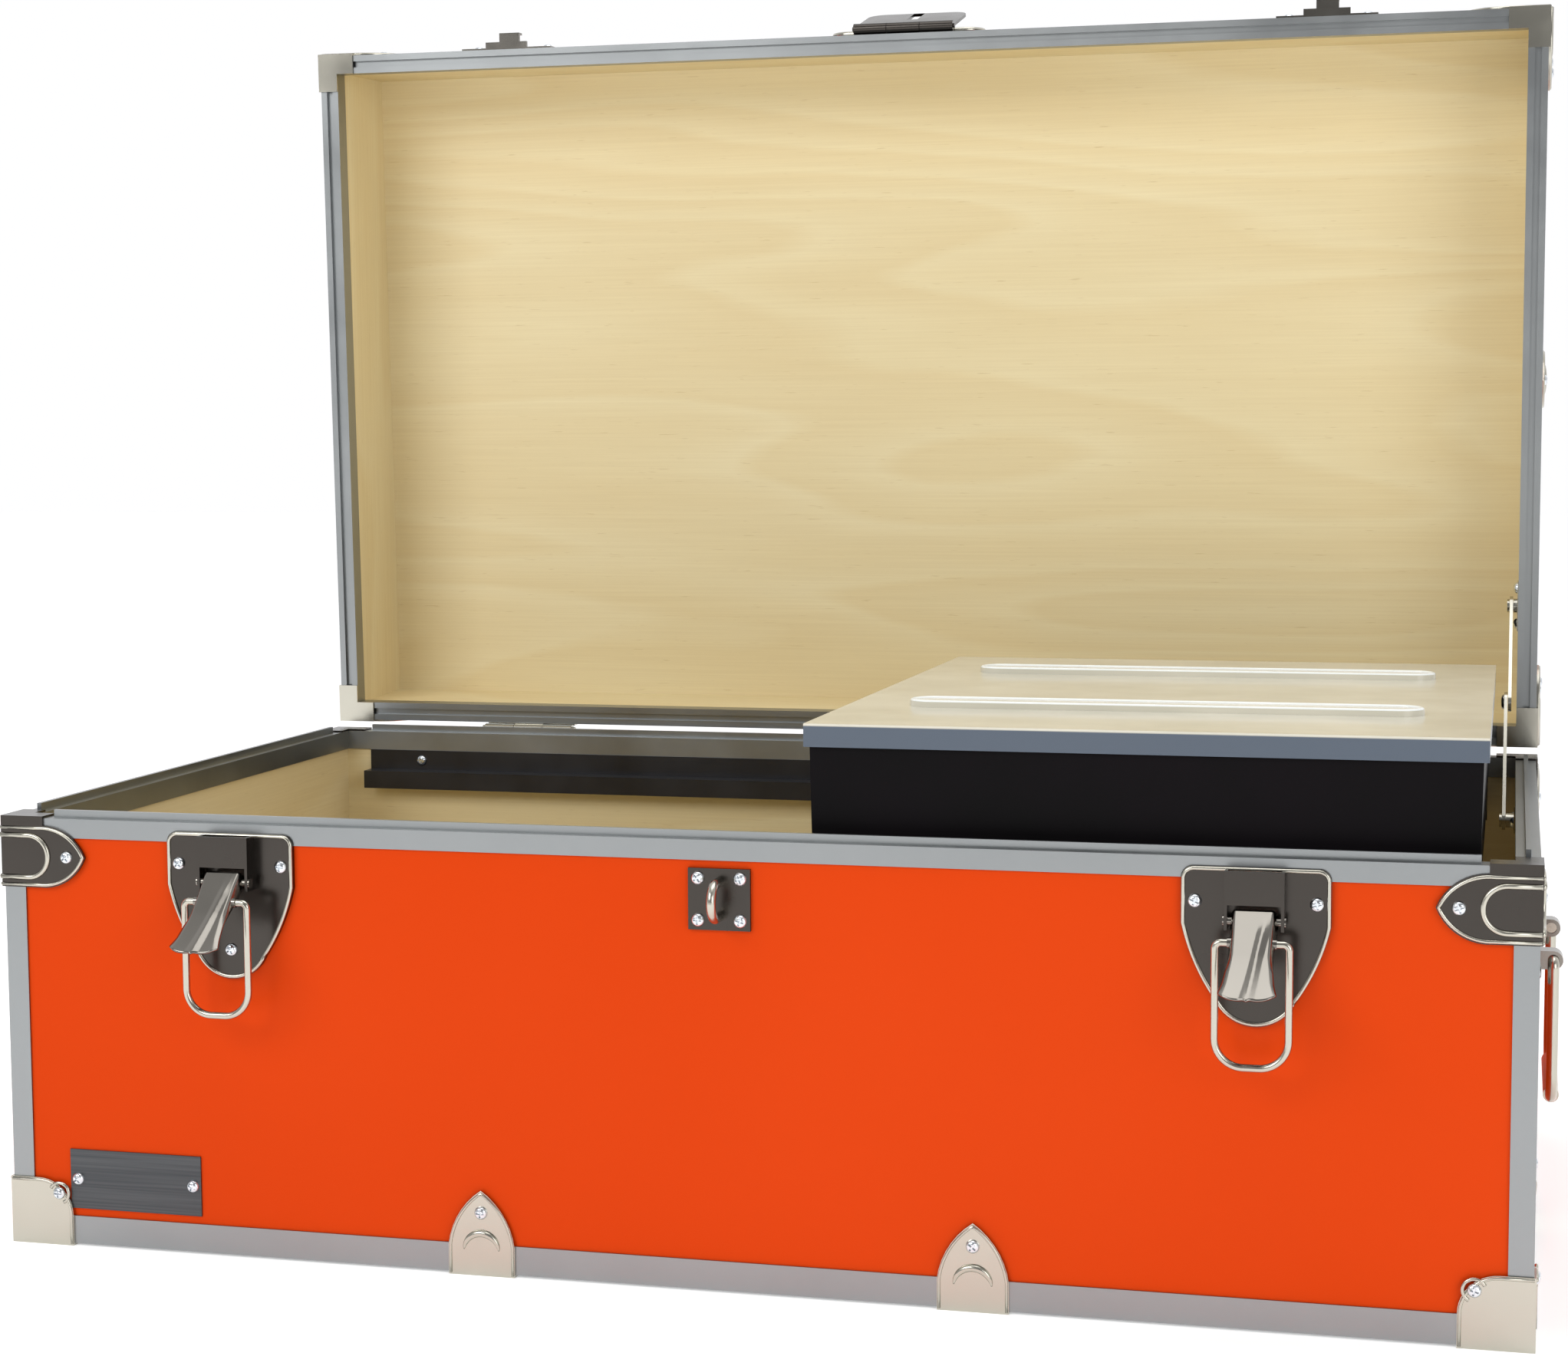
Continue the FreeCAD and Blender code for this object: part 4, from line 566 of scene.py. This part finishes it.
for hand, x in (("left", -LATCH_SPREAD * MM), ("right", LATCH_SPREAD * MM)):
    points = placed_lever(x)
    folded = piece(f"{hand}_folded_lever", points, grid_faces(*points.shape[:2]),
                   f"{hand}_lever", "plated_steel", steel, 1.1 * MM)
    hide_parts(f"{hand}_latch_lever")
print("levers folded")

# %% [markdown]
# ## The rivet at the stay's elbow
# The two links of the stay meet at a rivet. It rides on the lower link, as a pin set in it would.

# %% Rivet
turn = np.linspace(0, 2 * math.pi, 32, endpoint=False)
dome = np.array([(0.7, 0.02), (2.2, 0.1), (4.1, 0.5), (4.6, 1.4), (4.6, 2.0)]) * MM
low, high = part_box("stay_lower_link")
elbow_y, elbow_z = high.y - 6 * MM, high.z - 6 * MM
rivet = np.stack([np.broadcast_to((low.x - 2.0 * MM + dome[:, 1])[:, None], (5, 32)),
                  elbow_y + dome[:, :1] * np.cos(turn), elbow_z + dome[:, :1] * np.sin(turn)], -1)
# The rivet gets the pale steel tint, a painted highlight.
piece("elbow_rivet", rivet, ring_faces(5, 32), "stay_lower", "plated_steel", painted_highlight_steel)
print("rivet set")

# %% [markdown]
# ## Floor, light and camera
# A plain pale floor and a soft studio. Metal looks like metal only when it has something dark and
# something bright to mirror, so the room is bright behind and above and dimmer toward the front.

# %% Floor
floor_mesh = bpy.data.meshes.new("floor")
reach = 12.0
floor_mesh.from_pydata([(-reach, -reach, 0), (reach, -reach, 0), (reach, reach, 0),
                        (-reach, reach, 0)], [], [(0, 1, 2, 3)])
floor = bpy.data.objects.new("floor", floor_mesh)
bpy.context.scene.collection.objects.link(floor)
pale = Finish("floor_paper", Roughness=0.9, Emission_Color=(1.0, 1.0, 1.0, 1.0),
              Emission_Strength=0.35)
pale.show("Base Color", pale.ramp(pale.noise((2.0, 2.0, 2.0)), [(0.0, (0.93,) * 3),
                                                               (1.0, (0.95,) * 3)]))
floor_mesh.materials.append(pale.material)
print("floor laid")

# %% Room
world = bpy.data.worlds.new("studio")
world.use_nodes = True
bpy.context.scene.world = world
sky = world.node_tree
direction = sky.nodes.new("ShaderNodeTexCoord")
parts = sky.nodes.new("ShaderNodeSeparateXYZ")
room = sky.nodes.new("ShaderNodeValToRGB")
spread = sky.nodes.new("ShaderNodeMapRange")
sky.links.new(direction.outputs["Generated"], parts.inputs[0])
sky.links.new(parts.outputs["Y"], spread.inputs["Value"])
spread.inputs["From Min"].default_value = -1.0
sky.links.new(spread.outputs[0], room.inputs["Fac"])
for element, (where, level) in zip(room.color_ramp.elements, ((0.15, 0.24), (0.72, 1.0))):
    element.position = where
    element.color = (level, level, level * 1.01, 1.0)
sky.links.new(room.outputs["Color"], sky.nodes["Background"].inputs["Color"])
sky.nodes["Background"].inputs["Strength"].default_value = 1.0
print("room lit")

# %% [markdown]
# ## Softboxes
# Three area lights, each turned to face the trunk: a key from the left, a fill from the right and a
# wide one overhead.

# %% Softboxes
def softbox(name, place, aim, size, power):
    """An area light at a place, turned to face a point."""
    data = bpy.data.lights.new(name, "AREA")
    data.shape = "RECTANGLE"
    data.size, data.size_y = size
    data.energy = power
    lamp = bpy.data.objects.new(name, data)
    bpy.context.scene.collection.objects.link(lamp)
    away = np.array(place, float) - np.array(aim, float)
    away /= np.linalg.norm(away)
    right = np.cross([0.0, 0.0, 1.0], away)
    right /= np.linalg.norm(right)
    up = np.cross(away, right)
    lamp.matrix_world = Matrix(np.vstack([np.column_stack([right, up, away, place]),
                                          [0, 0, 0, 1]]).tolist())


softbox("key", (-1.3, -2.2, 1.7), (0, 0, 0.25), (1.6, 1.2), 34)
softbox("fill", (1.9, -1.9, 0.9), (0, 0, 0.25), (1.4, 1.4), 17)
softbox("top", (0.2, -0.1, 2.3), (0, 0.05, 0), (1.8, 1.4), 16)
print("softboxes hung")

# %% Camera
camera_data = bpy.data.cameras.new("camera")
camera_data.lens = 64.93
camera_data.sensor_width = 36.0
camera = bpy.data.objects.new("camera", camera_data)
bpy.context.scene.collection.objects.link(camera)
right_way = (0.96837, 0.24947, -0.00550)
up_way = (-0.01718, 0.08862, 0.99592)
back_way = (0.24893, -0.96432, 0.09010)
stand = (0.39065, -1.60740, 0.44975)
camera.matrix_world = Matrix([[right_way[i], up_way[i], back_way[i], stand[i]] for i in range(3)]
                             + [[0, 0, 0, 1]])
bpy.context.scene.camera = camera
bpy.context.scene.view_settings.view_transform = "Standard"
print("camera set")
